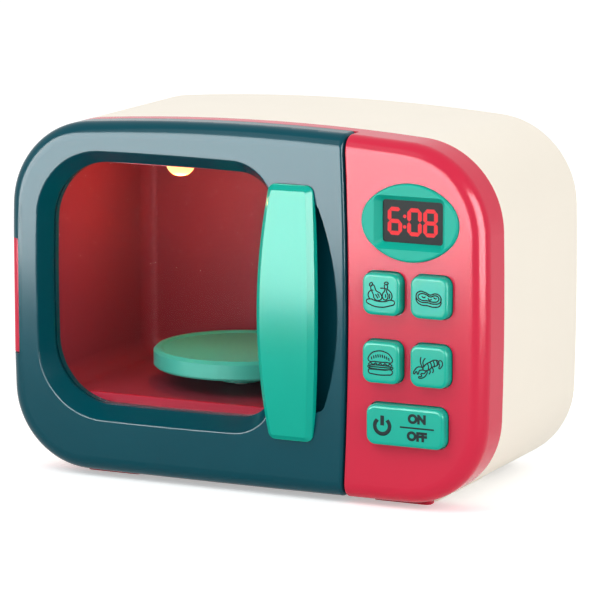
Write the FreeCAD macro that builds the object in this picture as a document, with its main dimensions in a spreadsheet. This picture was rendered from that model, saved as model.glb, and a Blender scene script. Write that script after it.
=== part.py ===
"""Toy microwave oven with an opening door, pressing buttons and a driven turntable.

Every piece is drawn in the front frame: X runs to the right from the middle of the
front, Y runs rearwards from the front face, Z runs up from the underside of the cabinet.
One placement, shared by all pieces, then moves the origin to the middle of the footprint
at the height of the table. Lengths are in millimetres.
"""
import FreeCAD, Part
import math
import os

import Sketcher

V = FreeCAD.Vector
doc = FreeCAD.newDocument("toy_microwave")

SIZES = {
    # Cabinet outline
    "width": 250.0,
    "height": 174.0,
    "depth": 124.0,
    "side_crown": 2.2,
    "top_crown": 7.4,
    "base_crown": 0.8,
    "top_corner": 43.0,
    "base_corner": 40.0,
    "wall": 2.5,
    "edge_round": 8.0,
    "rear_round": 9.0,
    "foot_rise": 2.6,
    "foot_inset": 34.0,
    "foot_wide": 29.0,
    "foot_corner": 2.5,
    "foot_front": 16.4,
    "foot_rear": 40.0,
    # Front frame and door
    "frame_depth": 24.0,
    "door_depth": 15.5,
    "door_seat_gap": 0.5,
    "plate": 2.5,
    "door_gap": 1.0,
    "split_bow": 2.8,
    "split_round": 2.0,
    "panel_round": 1.2,
    "hinge_inset": 4.4,
    "hinge_back": 7.3,
    "pin_radius": 1.5,
    "pin_reach": 9.0,
    "lug_radius": 4.3,
    "lug_below": 31.2,
    "lug_above": 24.8,
    "lug_window": 1.2,
    "moving_gap": 0.4,
    "running_fit": 0.06,
    # Door window, finger pocket and handle
    "border_hinge": 15.8,
    "border_latch": 37.4,
    "border_low": 26.2,
    "border_high": 16.4,
    "recess_depth": 9.5,
    "recess_corner_left": 35.0,
    "recess_corner_right": 22.0,
    "recess_lean_side": 4.0,
    "recess_lean_tall": 6.2,
    "recess_edge": 0.8,
    "pane_thick": 1.5,
    "pane_margin": 3.2,
    "back_thick": 2.0,
    "channel_hinge_low": 41.0,
    "channel_hinge_high": 51.0,
    "channel_latch": 16.4,
    "pocket_inset": 4.7,
    "pocket_wide": 26.2,
    "pocket_low": 40.5,
    "pocket_drop": 31.5,
    "pocket_slope": 8.0,
    "pocket_narrow_low": 7.7,
    "pocket_narrow_high": 11.8,
    "pocket_corner": 5.0,
    "pocket_fillet": 3.0,
    "pocket_depth": 9.0,
    "handle_inset": 28.5,
    "handle_low": 26.2,
    "handle_drop": 25.9,
    "handle_end_wide": 22.0,
    "handle_mid_wide": 29.9,
    "handle_end_rise": 3.4,
    "handle_reach": 9.0,
    "handle_bar": 6.5,
    "handle_foot": 16.0,
    "handle_root": 9.0,
    "handle_corner": 3.5,
    "handle_bevel": 2.6,
    "handle_screw_inset": 5.2,
    "handle_screw_left": 2.4,
    "handle_bite": 2.6,
    "seat_depth": 0.8,
    "seat_gap": 0.4,
    "latch_thick": 1.6,
    "latch_tall": 12.0,
    "latch_play": 0.8,
    "latch_inset": 0.6,
    # Control panel
    "bezel_end_radius": 14.0,
    "bezel_proud": 1.6,
    "display_funnel": 2.6,
    "button_corner": 4.4,
    "button_bevel": 1.7,
    "button_flange": 1.5,
    "button_proud": 5.2,
    "button_travel": 2.0,
    "button_gap": 0.6,
    "dome_crown": 1.8,
    "board_back": 14.0,
    "board_thick": 1.6,
    "keypad_sheet": 1.2,
    # Oven chamber and turntable
    "chamber_inset": 17.0,
    "chamber_rear": 11.0,
    "cavity_floor": 36.5,
    "roof_drop": 24.0,
    "cavity_corner": 10.0,
    "cavity_fillet": 7.0,
    "liner_wall": 2.0,
    "liner_flange": 4.0,
    "spindle_side": 0.5,
    "spindle_back": 1.25,
    "plate_gap": 4.25,
    "plate_top": 55.0,
    "plate_rim": 9.4,
    "plate_wall": 2.2,
    "plate_dish": 0.9,
    "hub_radius": 10.0,
    "drive_square": 4.2,
    "lamp_left": 22.0,
    "lamp_front": 21.0,
    "lamp_radius": 7.0,
    "lamp_drop": 9.0,
    # Turntable drive
    "gear_module": 0.8,
    "pinion_teeth": 10,
    "idler_teeth": 36,
    "output_teeth": 40,
    "tooth_slack": 0.16,
    "gear_face": 5.0,
    "spindle_radius": 3.0,
    "axle_radius": 1.5,
    "gearbox_floor": 5.0,
    "gearbox_wall": 2.0,
    "gearbox_high": 24.0,
    "motor_radius": 12.0,
    "motor_high": 12.5,
    "motor_shaft": 1.0,
    # Sound and power
    "speaker_radius": 18.0,
    "cell_radius": 7.2,
    "cell_long": 50.5,
    "cell_pitch": 15.2,
    "bay_z": 50.0,
    "contact_room": 5.6,
    "cover_thick": 2.0,
    "cover_land": 2.0,
    "cover_gap": 0.3,
    # Fasteners
    "boss_radius": 4.0,
    "boss_end": 40.0,
    "boss_inset": 30.0,
    "boss_drop": 15.5,
    "boss_low": 16.0,
    "screw_radius": 1.25,
    "screw_head": 2.6,
    "screw_head_high": 1.2,
    "screw_slack": 0.15,
}

# Places and sizes on the front that grow with the cabinet
SHARES = {
    "width": {
        "split_x": 55.4 / 250,
        "display_x": 87.6 / 250,
        "bezel_half_wide": 24.4 / 250,
        "display_wide": 30.5 / 250,
        "button_left_x": 75 / 250,
        "button_right_x": 99.2 / 250,
        "button_wide": 19 / 250,
        "start_x": 87.3 / 250,
        "start_wide": 39.4 / 250,
        "speaker_x": 88 / 250,
        "bay_x": 84.5 / 250,
    },
    "height": {
        "display_z": 134 / 174,
        "bezel_half_tall": 18.3 / 174,
        "display_tall": 20 / 174,
        "button_high_z": 100.4 / 174,
        "button_low_z": 68.2 / 174,
        "button_tall": 19.8 / 174,
        "start_z": 38.8 / 174,
        "start_tall": 19.2 / 174,
        "speaker_z": 126 / 174,
    },
}

cells = {alias: (number, str(number)) for alias, number in SIZES.items()}
for whole, shares in SHARES.items():
    for alias, share in shares.items():
        cells[alias] = (SIZES[whole] * share, f"={whole} * {share}")
sheet = doc.addObject("Spreadsheet::Sheet", "Sizes")
for row, (alias, (number, content)) in enumerate(cells.items(), start=1):
    sheet.set(f"A{row}", content)
    sheet.setAlias(f"A{row}", alias)
doc.recompute()


class Size:
    """A number together with the sheet expression that gives it."""

    def __init__(self, value, text):
        self.value = float(value)
        self.text = text

    def __add__(self, other):
        other = as_size(other)
        return Size(self.value + other.value, f"({self.text} + {other.text})")

    def __sub__(self, other):
        other = as_size(other)
        return Size(self.value - other.value, f"({self.text} - {other.text})")

    def __mul__(self, other):
        other = as_size(other)
        return Size(self.value * other.value, f"({self.text} * {other.text})")

    def __truediv__(self, other):
        other = as_size(other)
        return Size(self.value / other.value, f"({self.text} / {other.text})")

    def __neg__(self):
        return Size(-self.value, f"(0 - {self.text})")

    def __radd__(self, other):
        return as_size(other) + self

    def __rsub__(self, other):
        return as_size(other) - self

    def __rmul__(self, other):
        return as_size(other) * self


def as_size(number):
    """Sheet sizes as they are, plain numbers as constants."""
    if isinstance(number, Size):
        return number
    return Size(number, repr(float(number)))


class Sheet:
    """Gives each cell of the sheet as a Size by its alias."""

    def __getattr__(self, alias):
        return Size(cells[alias][0], f"Sizes.{alias}")


s = Sheet()
BODIES = []


def bind(thing, path, number):
    """Ties one property of an object to an expression of the sheet."""
    thing.setExpression(path, as_size(number).text)


def place(thing):
    """Moves a piece from the front frame to the middle of the footprint."""
    bind(thing, "Placement.Base.y", (s.handle_reach - s.depth) / 2)
    bind(thing, "Placement.Base.z", s.foot_rise)


def new_body(label):
    """A body in the shared placement."""
    body = doc.addObject("PartDesign::Body", label)
    body.Label = label
    place(body)
    return body


def piece(label):
    """A body that becomes one named piece."""
    body = new_body(label)
    BODIES.append(body)
    return body


def sketch_on(body, name, plane, base):
    """A sketch on one of the body's own planes, its origin moved by base."""
    sketch = body.newObject("Sketcher::SketchObject", name + "_sketch")
    origin = [p for p in body.Origin.OriginFeatures if p.Role == plane][0]
    sketch.AttachmentSupport = [(origin, "")]
    sketch.MapMode = "FlatFace"
    for axis, number in zip("xyz", base):
        bind(sketch, f"AttachmentOffset.Base.{axis}", number)
    return sketch


def hold(sketch, kind, refs, number):
    """Adds one sized constraint, tied to the sheet where the size comes from it."""
    size = as_size(number)
    index = sketch.addConstraint(Sketcher.Constraint(kind, *refs, size.value))
    if "Sizes." in size.text:
        name = f"size_{index}"
        sketch.renameConstraint(index, name)
        sketch.setExpression(f"Constraints.{name}", size.text)


def hold_point(sketch, shape, point, across, up):
    """Fixes one point of a sketch by its distances from the sketch's origin."""
    hold(sketch, "DistanceX", (-1, 1, shape, point), across)
    hold(sketch, "DistanceY", (-1, 1, shape, point), up)


def arc(centre, radius, start, end):
    """An arc of a sketch, anticlockwise between two angles."""
    return Part.ArcOfCircle(Part.Circle(V(*centre, 0), V(0, 0, 1), radius), start, end)


def ring(sketch, across, up, radius):
    """A circle."""
    across, up, radius = as_size(across), as_size(up), as_size(radius)
    circle = Part.Circle(V(across.value, up.value, 0), V(0, 0, 1), radius.value)
    shape = sketch.addGeometry(circle, False)
    hold_point(sketch, shape, 3, across, up)
    hold(sketch, "Radius", (shape,), radius)


def path(sketch, corners):
    """A closed outline through corners, anticlockwise: (across, up) starts a straight
    stretch, (across, up, bow) an arc that stands out by bow, inwards if negative."""
    count = len(corners)
    ends = []
    for k in range(count):
        here, there = corners[k], corners[(k + 1) % count]
        x1, y1, x2, y2 = (as_size(n) for n in (*here[:2], *there[:2]))
        bow = as_size(here[2]) if len(here) > 2 else None
        if bow is None:
            line = Part.LineSegment(V(x1.value, y1.value, 0), V(x2.value, y2.value, 0))
            ends.append((sketch.addGeometry(line, False), 1, 2))
            continue
        chord = (x2 - x1) * (x2 - x1) + (y2 - y1) * (y2 - y1)
        radius = (chord / 4 + bow * bow) / (2 * bow)
        span = math.sqrt(chord.value)
        out = ((y2 - y1).value / span, (x1 - x2).value / span)
        back = radius.value - bow.value
        mid = ((x1 + x2).value / 2, (y1 + y2).value / 2)
        centre = (mid[0] - out[0] * back, mid[1] - out[1] * back)
        first = math.atan2(y1.value - centre[1], x1.value - centre[0])
        last = math.atan2(y2.value - centre[1], x2.value - centre[0])
        if bow.value > 0:
            shape = sketch.addGeometry(arc(centre, radius.value, first, last), False)
            ends.append((shape, 1, 2))
            hold(sketch, "Radius", (shape,), radius)
        else:
            shape = sketch.addGeometry(arc(centre, -radius.value, last, first), False)
            ends.append((shape, 2, 1))
            hold(sketch, "Radius", (shape,), -radius)
    for k in range(count):
        shape, start, end = ends[k]
        after, after_start, after_end = ends[(k + 1) % count]
        link = Sketcher.Constraint("Coincident", shape, end, after, after_start)
        sketch.addConstraint(link)
        hold_point(sketch, shape, start, *corners[k][:2])


def rect(sketch, left, right, low, high):
    """A rectangle with sharp corners."""
    path(sketch, [(left, low), (right, low), (right, high), (left, high)])


def round_rect(sketch, left, right, low, high, corners):
    """A rectangle with rounded corners, one radius or four anticlockwise from low left."""
    if not isinstance(corners, tuple):
        corners = (corners,) * 4
    a, b, c, d = corners
    bow = 1 - math.sqrt(0.5)
    path(sketch, [
        (left + a, low), (right - b, low, bow * as_size(b)),
        (right, low + b), (right, high - c, bow * as_size(c)),
        (right - c, high), (left + d, high, bow * as_size(d)),
        (left, high - d), (left, low + a, bow * as_size(a)),
    ])


def oval(sketch, across, up, half_wide, half_tall, end_radius):
    """A four-arc oval: two end arcs and two long arcs that meet them smoothly."""
    reach = half_wide - end_radius
    long_radius = (reach * reach + half_tall * half_tall - end_radius * end_radius)
    long_radius = long_radius / (2 * (half_tall - end_radius))
    drop = (long_radius - half_tall).value
    turn = math.atan2(drop, reach.value)
    x, y = across.value, up.value
    left, right = across - reach, across + reach
    rounds = [
        ((right.value, y), end_radius, -turn, turn),
        ((x, y - drop), long_radius, turn, math.pi - turn),
        ((left.value, y), end_radius, math.pi - turn, math.pi + turn),
        ((x, y + drop), long_radius, math.pi + turn, 2 * math.pi - turn),
    ]
    shapes = [
        sketch.addGeometry(arc(centre, radius.value, start, end), False)
        for centre, radius, start, end in rounds
    ]
    for k in range(4):
        touch = Sketcher.Constraint("Tangent", shapes[k], 2, shapes[(k + 1) % 4], 1)
        sketch.addConstraint(touch)
        hold(sketch, "Radius", (shapes[k],), rounds[k][1])
    hold_point(sketch, shapes[0], 3, right, up)
    hold_point(sketch, shapes[2], 3, left, up)


def meet(one, two, near):
    """The point where two circles (centre, radius) cross, on the side of near."""
    (ax, ay), ra = one
    (bx, by), rb = two
    gap = math.hypot(bx - ax, by - ay)
    along = (gap * gap + ra * ra - rb * rb) / (2 * gap)
    up = math.sqrt(ra * ra - along * along)
    ux, uy = (bx - ax) / gap, (by - ay) / gap
    spots = [
        (ax + ux * along - uy * k * up, ay + uy * along + ux * k * up) for k in (1, -1)
    ]
    return min(spots, key=lambda spot: math.dist(spot, near))


def soft_rect(sketch, box, crowns, corners, inset=0.0):
    """A cushion outline: bowed sides (left, right, low, high) joined by smooth corners
    (low left, low right, high right, high left), moved inwards by inset."""
    left, right, low, high = (as_size(n) for n in box)
    crown_left, crown_right, crown_low, crown_high = (as_size(n) for n in crowns)
    low_left, low_right, high_right, high_left = (as_size(n) for n in corners)
    wide, tall = right - left, high - low
    mid_x, mid_z = (left + right) / 2, (low + high) / 2

    def bowed(span, crown):
        return (span * span / 4 + crown * crown) / (2 * crown)

    radii = [
        bowed(tall, crown_right), bowed(wide, crown_high),
        bowed(tall, crown_left), bowed(wide, crown_low),
    ]
    centres = [
        (right - radii[0], mid_z), (mid_x, high - radii[1]),
        (left + radii[2], mid_z), (mid_x, low + radii[3]),
    ]
    rounds = [high_right, high_left, low_left, low_right]
    outer = [(right, high), (left, high), (left, low), (right, low)]
    plain = [(x.value, z.value) for x, z in centres]
    joints = []
    for k in range(4):
        after = (k + 1) % 4
        one = (plain[k], radii[k].value - rounds[k].value)
        two = (plain[after], radii[after].value - rounds[k].value)
        joints.append(meet(one, two, (outer[k][0].value, outer[k][1].value)))

    def angle(k, corner):
        turn = math.atan2(corner[1] - plain[k][1], corner[0] - plain[k][0])
        return turn % (2 * math.pi)

    shapes = []
    for k in range(4):
        after = (k + 1) % 4
        start, end = angle(k, joints[k - 1]), angle(k, joints[k])
        side = arc(plain[k], (radii[k] - inset).value, start, end)
        shapes.append(sketch.addGeometry(side, False))
        turn = arc(joints[k], (rounds[k] - inset).value, end, angle(after, joints[k]))
        shapes.append(sketch.addGeometry(turn, False))
    for k in range(8):
        touch = Sketcher.Constraint("Tangent", shapes[k], 2, shapes[(k + 1) % 8], 1)
        sketch.addConstraint(touch)
    for k in range(4):
        hold(sketch, "Radius", (shapes[2 * k],), radii[k] - inset)
        hold(sketch, "Radius", (shapes[2 * k + 1],), rounds[k] - inset)
        hold_point(sketch, shapes[2 * k], 3, *centres[k])


def cushion(sketch, inset=0.0):
    """The outline of the cabinet seen from the front."""
    box = (-s.width / 2, s.width / 2, 0, s.height)
    crowns = (s.side_crown, s.side_crown, s.base_crown, s.top_crown)
    corners = (s.base_corner, s.base_corner, s.top_corner, s.top_corner)
    soft_rect(sketch, box, crowns, corners, inset)


def feature(body, kind, name, sketch, length, flip):
    """A Pad or Pocket of a sketch, with its length tied to the sheet."""
    made = body.newObject("PartDesign::" + kind, name)
    made.Profile = sketch
    made.Reversed = flip
    bind(made, "Length", length)
    return made


def front_block(body, name, near, far, draw, *sizes):
    """Adds a block with an outline seen from the front, from depth near to depth far."""
    sketch = sketch_on(body, name, "XZ_Plane", (0, 0, -as_size(far)))
    draw(sketch, *sizes)
    return feature(body, "Pad", name, sketch, as_size(far) - near, False)


def front_cut(body, name, near, far, draw, *sizes):
    """Cuts an outline seen from the front, from depth near to depth far."""
    sketch = sketch_on(body, name, "XZ_Plane", (0, 0, -as_size(near)))
    draw(sketch, *sizes)
    return feature(body, "Pocket", name, sketch, as_size(far) - near, False)


def plan_block(body, name, low, high, draw, *sizes, at=(0, 0)):
    """Adds a block with an outline seen from above, between two heights."""
    sketch = sketch_on(body, name, "XY_Plane", (*at, low))
    draw(sketch, *sizes)
    return feature(body, "Pad", name, sketch, as_size(high) - low, False)


def plan_cut(body, name, low, high, draw, *sizes):
    """Cuts an outline seen from above, between two heights."""
    sketch = sketch_on(body, name, "XY_Plane", (0, 0, high))
    draw(sketch, *sizes)
    return feature(body, "Pocket", name, sketch, as_size(high) - low, False)


def side_block(body, name, left, right, draw, *sizes):
    """Adds a block with an outline seen from the right, between two places along X."""
    sketch = sketch_on(body, name, "YZ_Plane", (0, 0, left))
    draw(sketch, *sizes)
    return feature(body, "Pad", name, sketch, as_size(right) - left, False)


def side_cut(body, name, left, right, draw, *sizes):
    """Cuts an outline seen from the right, between two places along X."""
    sketch = sketch_on(body, name, "YZ_Plane", (0, 0, right))
    draw(sketch, *sizes)
    return feature(body, "Pocket", name, sketch, as_size(right) - left, False)


def turned(body, name, along, at, outline, kind="Revolution"):
    """Turns an outline of (radius, distance along) about an axis through at."""
    x, y, z = at
    if along == "Z":
        sketch = sketch_on(body, name, "XZ_Plane", (x, z, -as_size(y)))
    else:
        sketch = sketch_on(body, name, "XY_Plane", (x, y, z))
    path(sketch, outline)
    made = body.newObject("PartDesign::" + kind, name)
    made.Profile = sketch
    made.ReferenceAxis = (sketch, ["V_Axis"])
    made.Angle = 360
    return made


def loft(body, kind, name, near, far, first, second):
    """Joins two outlines seen from the front, at two depths, by a ruled surface."""
    sketches = []
    for end, depth, (draw, *sizes) in (("near", near, first), ("far", far, second)):
        sketch = sketch_on(body, f"{name}_{end}", "XZ_Plane", (0, 0, -as_size(depth)))
        draw(sketch, *sizes)
        sketches.append(sketch)
    made = body.newObject("PartDesign::" + kind, name)
    made.Profile = sketches[0]
    made.Sections = [sketches[1]]
    made.Ruled = True
    return made


def soften(body, name, base, radius, wanted, kind="Fillet", prop="Radius"):
    """Rounds or bevels the edges of a feature that the test wanted accepts."""
    doc.recompute()
    names = [
        f"Edge{k}" for k, edge in enumerate(base.Shape.Edges, start=1) if wanted(edge)
    ]
    made = body.newObject("PartDesign::" + kind, name)
    made.Base = (base, names)
    bind(made, prop, radius)
    return made


def at_depth(depth):
    """Accepts the edges that lie wholly at one depth."""
    level = as_size(depth).value
    return lambda e: abs(e.BoundBox.YMin - level) < 1e-4 and abs(e.BoundBox.YMax - level) < 1e-4


def at_height(height):
    """Accepts the edges that lie wholly at one height."""
    level = as_size(height).value
    return lambda e: abs(e.BoundBox.ZMin - level) < 1e-4 and abs(e.BoundBox.ZMax - level) < 1e-4


def group(label, source, spots):
    """One node that holds a copy of the source body at each (x, y, z) spot."""
    doc.recompute()
    copies = []
    for spot in spots:
        copy = source.Tip.Shape.copy()
        copy.translate(V(*(as_size(n).value for n in spot)))
        copies.append(copy)
    node = doc.addObject("Part::Feature", label)
    node.Label = label
    node.Shape = Part.makeCompound(copies)
    place(node)
    BODIES.append(node)
    return node


# Places that several pieces share
half = s.width / 2
middle = s.height / 2
bay_back = s.door_depth + s.door_seat_gap
plate_back = bay_back + s.plate
rear_inside = s.depth - s.wall
front_boss_root = s.wall / 2
split_half = middle + 10
door_right = s.split_x - s.door_gap / 2
panel_left = s.split_x + s.door_gap / 2

# Hinge and latch
hinge_x = s.hinge_inset - half
hinge_y = s.hinge_back
lug_low, lug_high = middle - s.lug_below, middle + s.lug_above
cover_right = door_right - s.split_bow - 1.5
latch_right = cover_right - s.latch_inset
latch_left = latch_right - s.latch_thick
slot_left, slot_right = latch_left - s.latch_play, latch_right + s.latch_play

# Window recess, finger pocket and handle
recess_left, recess_right = s.border_hinge - half, s.split_x - s.border_latch
recess_low, recess_high = s.border_low, s.height - s.border_high
recess_box = (recess_left, recess_right, recess_low, recess_high)
window_box = (
    recess_left + s.recess_lean_side, recess_right - s.recess_lean_side,
    recess_low + s.recess_lean_tall, recess_high - s.recess_lean_tall,
)
land_back = s.recess_depth + 1
pane_back = land_back + s.pane_thick
cover_front = s.door_depth - s.back_thick
pocket_right = s.split_x - s.pocket_inset
pocket_left = pocket_right - s.pocket_wide
pocket_high = s.height - s.pocket_drop
handle_x = s.split_x - s.handle_inset
handle_high = s.height - s.handle_drop
end_half = s.handle_end_wide / 2
handle_screw_x = handle_x - s.handle_screw_left
handle_screw_spots = [
    (handle_screw_x, s.handle_low + s.handle_screw_inset),
    (handle_screw_x, handle_high - s.handle_screw_inset),
]
door_screw_spots = [
    (recess_left + 8.2, recess_high - 7.1), (recess_left + 6.2, recess_low + 3.3),
    (s.split_x - 9.4, s.height - 17), (s.split_x - 9.4, 17),
]

# Oven chamber and turntable
cavity_left = s.chamber_inset - half
cavity_right = slot_left - 0.6 - s.liner_flange
cavity_roof = s.height - s.roof_drop
cavity_rear = s.depth - s.chamber_rear
opening = (cavity_left, cavity_right, s.cavity_floor, cavity_roof)
spindle_x = (cavity_left + cavity_right) / 2 + s.spindle_side
spindle_y = (plate_back + cavity_rear) / 2 + s.spindle_back
plate_radius = (cavity_rear - plate_back) / 2 - s.plate_gap
lamp_x, lamp_y = spindle_x - s.lamp_left, spindle_y - s.lamp_front

# Control panel
button_spots = {
    "roast_button": (s.button_left_x, s.button_high_z, s.button_wide, s.button_tall),
    "steak_button": (s.button_right_x, s.button_high_z, s.button_wide, s.button_tall),
    "burger_button": (s.button_left_x, s.button_low_z, s.button_wide, s.button_tall),
    "seafood_button": (s.button_right_x, s.button_low_z, s.button_wide, s.button_tall),
    "start_button": (s.start_x, s.start_z, s.start_wide, s.start_tall),
}
start_low = s.start_z - s.start_tall / 2
between_buttons = (s.button_high_z + s.button_low_z) / 2
board_left, board_right = panel_left + 4.7, half - s.edge_round - 1.6
board_screw_low = start_low - s.button_flange - 3.7
board_low, board_high = board_screw_low - 3.2, s.height - 23
board_screw_spots = [
    (board_left + 2, between_buttons), (board_right - 2.2, between_buttons),
    (board_left + 5.4, board_screw_low), (board_right - 15.4, board_screw_low),
]
boss_x, boss_high = half - s.boss_inset, s.height - s.boss_drop
boss_spots = [(side * boss_x, z) for side in (1, -1) for z in (s.boss_low, boss_high)]


def left_of_split(sketch, edge):
    """Everything to the left of the bowed line between door and panel."""
    end = edge - s.split_bow
    low, high = middle - split_half, middle + split_half
    path(sketch, [(-s.width, low), (end, low, s.split_bow), (end, high), (-s.width, high)])


def right_of_split(sketch, edge):
    """Everything to the right of the bowed line between door and panel."""
    end = edge - s.split_bow
    low, high = middle - split_half, middle + split_half
    path(sketch, [(end, low), (s.width, low), (s.width, high), (end, high, -s.split_bow)])


def feet(sketch, near, far):
    """Two rails under the cabinet, seen from above."""
    for left in (s.foot_inset - half, half - s.foot_inset - s.foot_wide):
        round_rect(sketch, left, left + s.foot_wide, near, far, s.foot_corner)


def rings(sketch, spots, radius):
    """Equal circles at several spots."""
    for across, up in spots:
        ring(sketch, across, up, radius)


# Front frame: ring behind the door, control panel, hinge lug and front feet
frame = piece("front_frame")
front_block(frame, "frame_block", 0, s.frame_depth, cushion)
soften(frame, "frame_round", frame.Tip, s.edge_round, at_depth(0))
front_cut(frame, "door_bay", 0, bay_back, left_of_split, panel_left)
soften(frame, "panel_edge", frame.Tip, s.panel_round, lambda e: (
    at_depth(0)(e) and e.BoundBox.XMax < panel_left.value + 0.1))
front_cut(frame, "rim_hollow", plate_back, s.frame_depth, cushion, s.wall)
front_cut(frame, "panel_hollow", s.wall, plate_back, round_rect, panel_left + 3.5,
          half - s.edge_round, 8, s.height - 11, (3, 33, 33, 3))
front_cut(frame, "cavity_opening", bay_back, plate_back, round_rect, *opening, s.cavity_corner)
front_cut(frame, "latch_slot", bay_back, plate_back, rect, slot_left, slot_right,
          middle - s.latch_tall / 2 - 1, middle + s.latch_tall / 2 + 1)
plan_block(frame, "lug_knuckle", lug_low, lug_high, ring, hinge_x, hinge_y, s.lug_radius)
plan_block(frame, "lug_arm", lug_low, lug_high, rect, hinge_x - 1.5,
           hinge_x + s.lug_radius, hinge_y, bay_back + 1)
plan_cut(frame, "lug_bore", lug_low, lug_high, ring, hinge_x, hinge_y, s.pin_radius)
for name, (x, z, wide, tall) in button_spots.items():
    across, up = wide / 2 + s.button_gap, tall / 2 + s.button_gap
    front_cut(frame, name + "_hole", 0, s.wall, round_rect, x - across, x + across,
              z - up, z + up, s.button_corner + s.button_gap)
front_cut(frame, "bezel_hole", 0, s.wall, oval, s.display_x, s.display_z,
          s.bezel_half_wide + 0.2, s.bezel_half_tall + 0.2, s.bezel_end_radius + 0.2)
front_block(frame, "panel_bosses", front_boss_root, s.boss_end, rings, boss_spots[:2],
            s.boss_radius)
front_block(frame, "ring_bosses", bay_back + 1, s.boss_end, rings, boss_spots[2:],
            s.boss_radius)
front_cut(frame, "boss_holes", s.boss_end - 14, s.boss_end, rings, boss_spots, s.screw_radius)
front_block(frame, "board_bosses", front_boss_root, s.board_back, rings, board_screw_spots, 2.4)
front_cut(frame, "board_holes", s.board_back - 8, s.board_back, rings, board_screw_spots,
          s.screw_radius)
plan_block(frame, "front_feet", -s.foot_rise, 1.5, feet, s.foot_front, s.frame_depth)

# Hinge pin: pressed into the lug, its ends turn in the door
pin = piece("hinge_pin")
plan_block(pin, "pin", lug_low - s.pin_reach, lug_high + s.pin_reach, ring, hinge_x,
           hinge_y, s.pin_radius)

# Door shell
door = piece("door_shell")
front_block(door, "door_block", 0, s.door_depth, cushion)
soften(door, "door_round", door.Tip, s.edge_round, at_depth(0))
front_cut(door, "door_split", 0, s.door_depth, right_of_split, door_right)
soften(door, "door_edge", door.Tip, s.split_round, lambda e: (
    at_depth(0)(e) and e.BoundBox.XMin > (door_right - s.split_bow).value - 0.1))
swing = bay_back - hinge_y - s.moving_gap - 0.3
plan_cut(door, "hinge_clearance", 0, s.height, path, [
    (-half - 5, hinge_y), (hinge_x - swing, hinge_y, -(1 - math.sqrt(0.5)) * swing),
    (hinge_x, hinge_y + swing), (hinge_x, s.door_depth + 1), (-half - 5, s.door_depth + 1)])
notch = s.lug_radius + s.moving_gap
plan_cut(door, "lug_notch_round", lug_low - s.moving_gap, lug_high + s.moving_gap, ring,
         hinge_x, hinge_y, notch)
plan_cut(door, "lug_notch_rear", lug_low - s.moving_gap, lug_high + s.moving_gap, rect,
         hinge_x - 2, hinge_x + notch, hinge_y, s.door_depth + 1)
plan_cut(door, "lug_notch_side", lug_low - s.moving_gap, lug_high + s.moving_gap, rect,
         -half - 5, hinge_x + s.lug_window, -1, s.door_depth + 1)
plan_cut(door, "pin_holes", lug_low - s.pin_reach - 1, lug_high + s.pin_reach + 1, ring,
         hinge_x, hinge_y, s.pin_radius + s.running_fit)
recess_crowns, window_crowns = (2, 1, 1, 1.2), (1.8, 0.9, 0.9, 1.1)
recess_corners = (s.recess_corner_left, s.recess_corner_right, s.recess_corner_right,
                  s.recess_corner_left)
window_corners = tuple(corner - s.recess_lean_side for corner in recess_corners)
loft(door, "SubtractiveLoft", "window_recess", 0, s.recess_depth,
     (soft_rect, recess_box, recess_crowns, recess_corners),
     (soft_rect, window_box, window_crowns, window_corners))
front_cut(door, "window_opening", s.recess_depth, s.door_depth, soft_rect, window_box,
          window_crowns, window_corners)
pane_margin = -s.pane_margin
front_cut(door, "pane_seat", land_back, s.door_depth, soft_rect, window_box, window_crowns,
          window_corners, pane_margin)

soften(door, "recess_rim", door.Tip, s.recess_edge, lambda e: (
    at_depth(0)(e) and e.BoundBox.XMax < recess_right.value + 0.1
    and e.BoundBox.XMin > recess_left.value - 0.1
    and e.BoundBox.ZMin > recess_low.value - 0.1
    and e.BoundBox.ZMax < recess_high.value + 0.1))


def finger_pocket(sketch):
    """Room for the fingers behind the handle, bowed towards the door's free edge."""
    low_end, high_end = pocket_right - s.pocket_narrow_low, pocket_right - s.pocket_narrow_high
    bow = (s.pocket_narrow_low + s.pocket_narrow_high) / 2
    path(sketch, [
        (pocket_left, s.pocket_low), (low_end, s.pocket_low, bow),
        (high_end, pocket_high), (pocket_left, pocket_high - s.pocket_slope)])


def handle_ends(sketch, margin=0.0):
    """The ends of the handle where they sit in the door, seen from the front."""
    left, right = handle_x - end_half - margin, handle_x + end_half + margin
    root = s.handle_root
    for low in (s.handle_low, handle_high - root):
        round_rect(sketch, left, right, low - margin, low + root + margin, s.handle_corner + margin)


front_cut(door, "finger_pocket", 0, s.pocket_depth, finger_pocket)
soften(door, "pocket_corners", door.Tip, s.pocket_corner, lambda e: (
    e.BoundBox.YLength > s.pocket_depth.value - 0.1 and e.BoundBox.XLength < 0.01
    and e.BoundBox.ZLength < 0.01 and recess_right.value < e.BoundBox.XMin
    and e.BoundBox.XMax < pocket_right.value))
soften(door, "pocket_floor", door.Tip, s.pocket_fillet, lambda e: (
    at_depth(s.pocket_depth)(e) and e.BoundBox.XMin > recess_right.value))
front_cut(door, "handle_seats", 0, s.seat_depth, handle_ends, s.seat_gap)
channel_right = s.split_x - s.channel_latch
room_left, room_right = recess_right + 3.5, handle_screw_x + 3.8
front_cut(door, "low_channel", s.wall, s.door_depth, round_rect, s.channel_hinge_low - half,
          channel_right, 6, recess_low - 2.5, 5)
front_cut(door, "high_channel", s.wall, s.door_depth, round_rect, s.channel_hinge_high - half,
          channel_right, recess_high + 2.5, s.height - 8.5, 2.5)
front_cut(door, "low_screw_room", s.wall, s.door_depth, round_rect, room_left, room_right,
          recess_low - 8, s.pocket_low - 2.5, 2.5)
front_cut(door, "high_screw_room", s.wall, s.door_depth, round_rect, room_left, room_right,
          handle_screw_spots[1][1] - 3.6, recess_high + 3, 2.5)
front_cut(door, "handle_screw_holes", s.seat_depth, s.wall, rings, handle_screw_spots,
          s.screw_radius + s.screw_slack)
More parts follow.
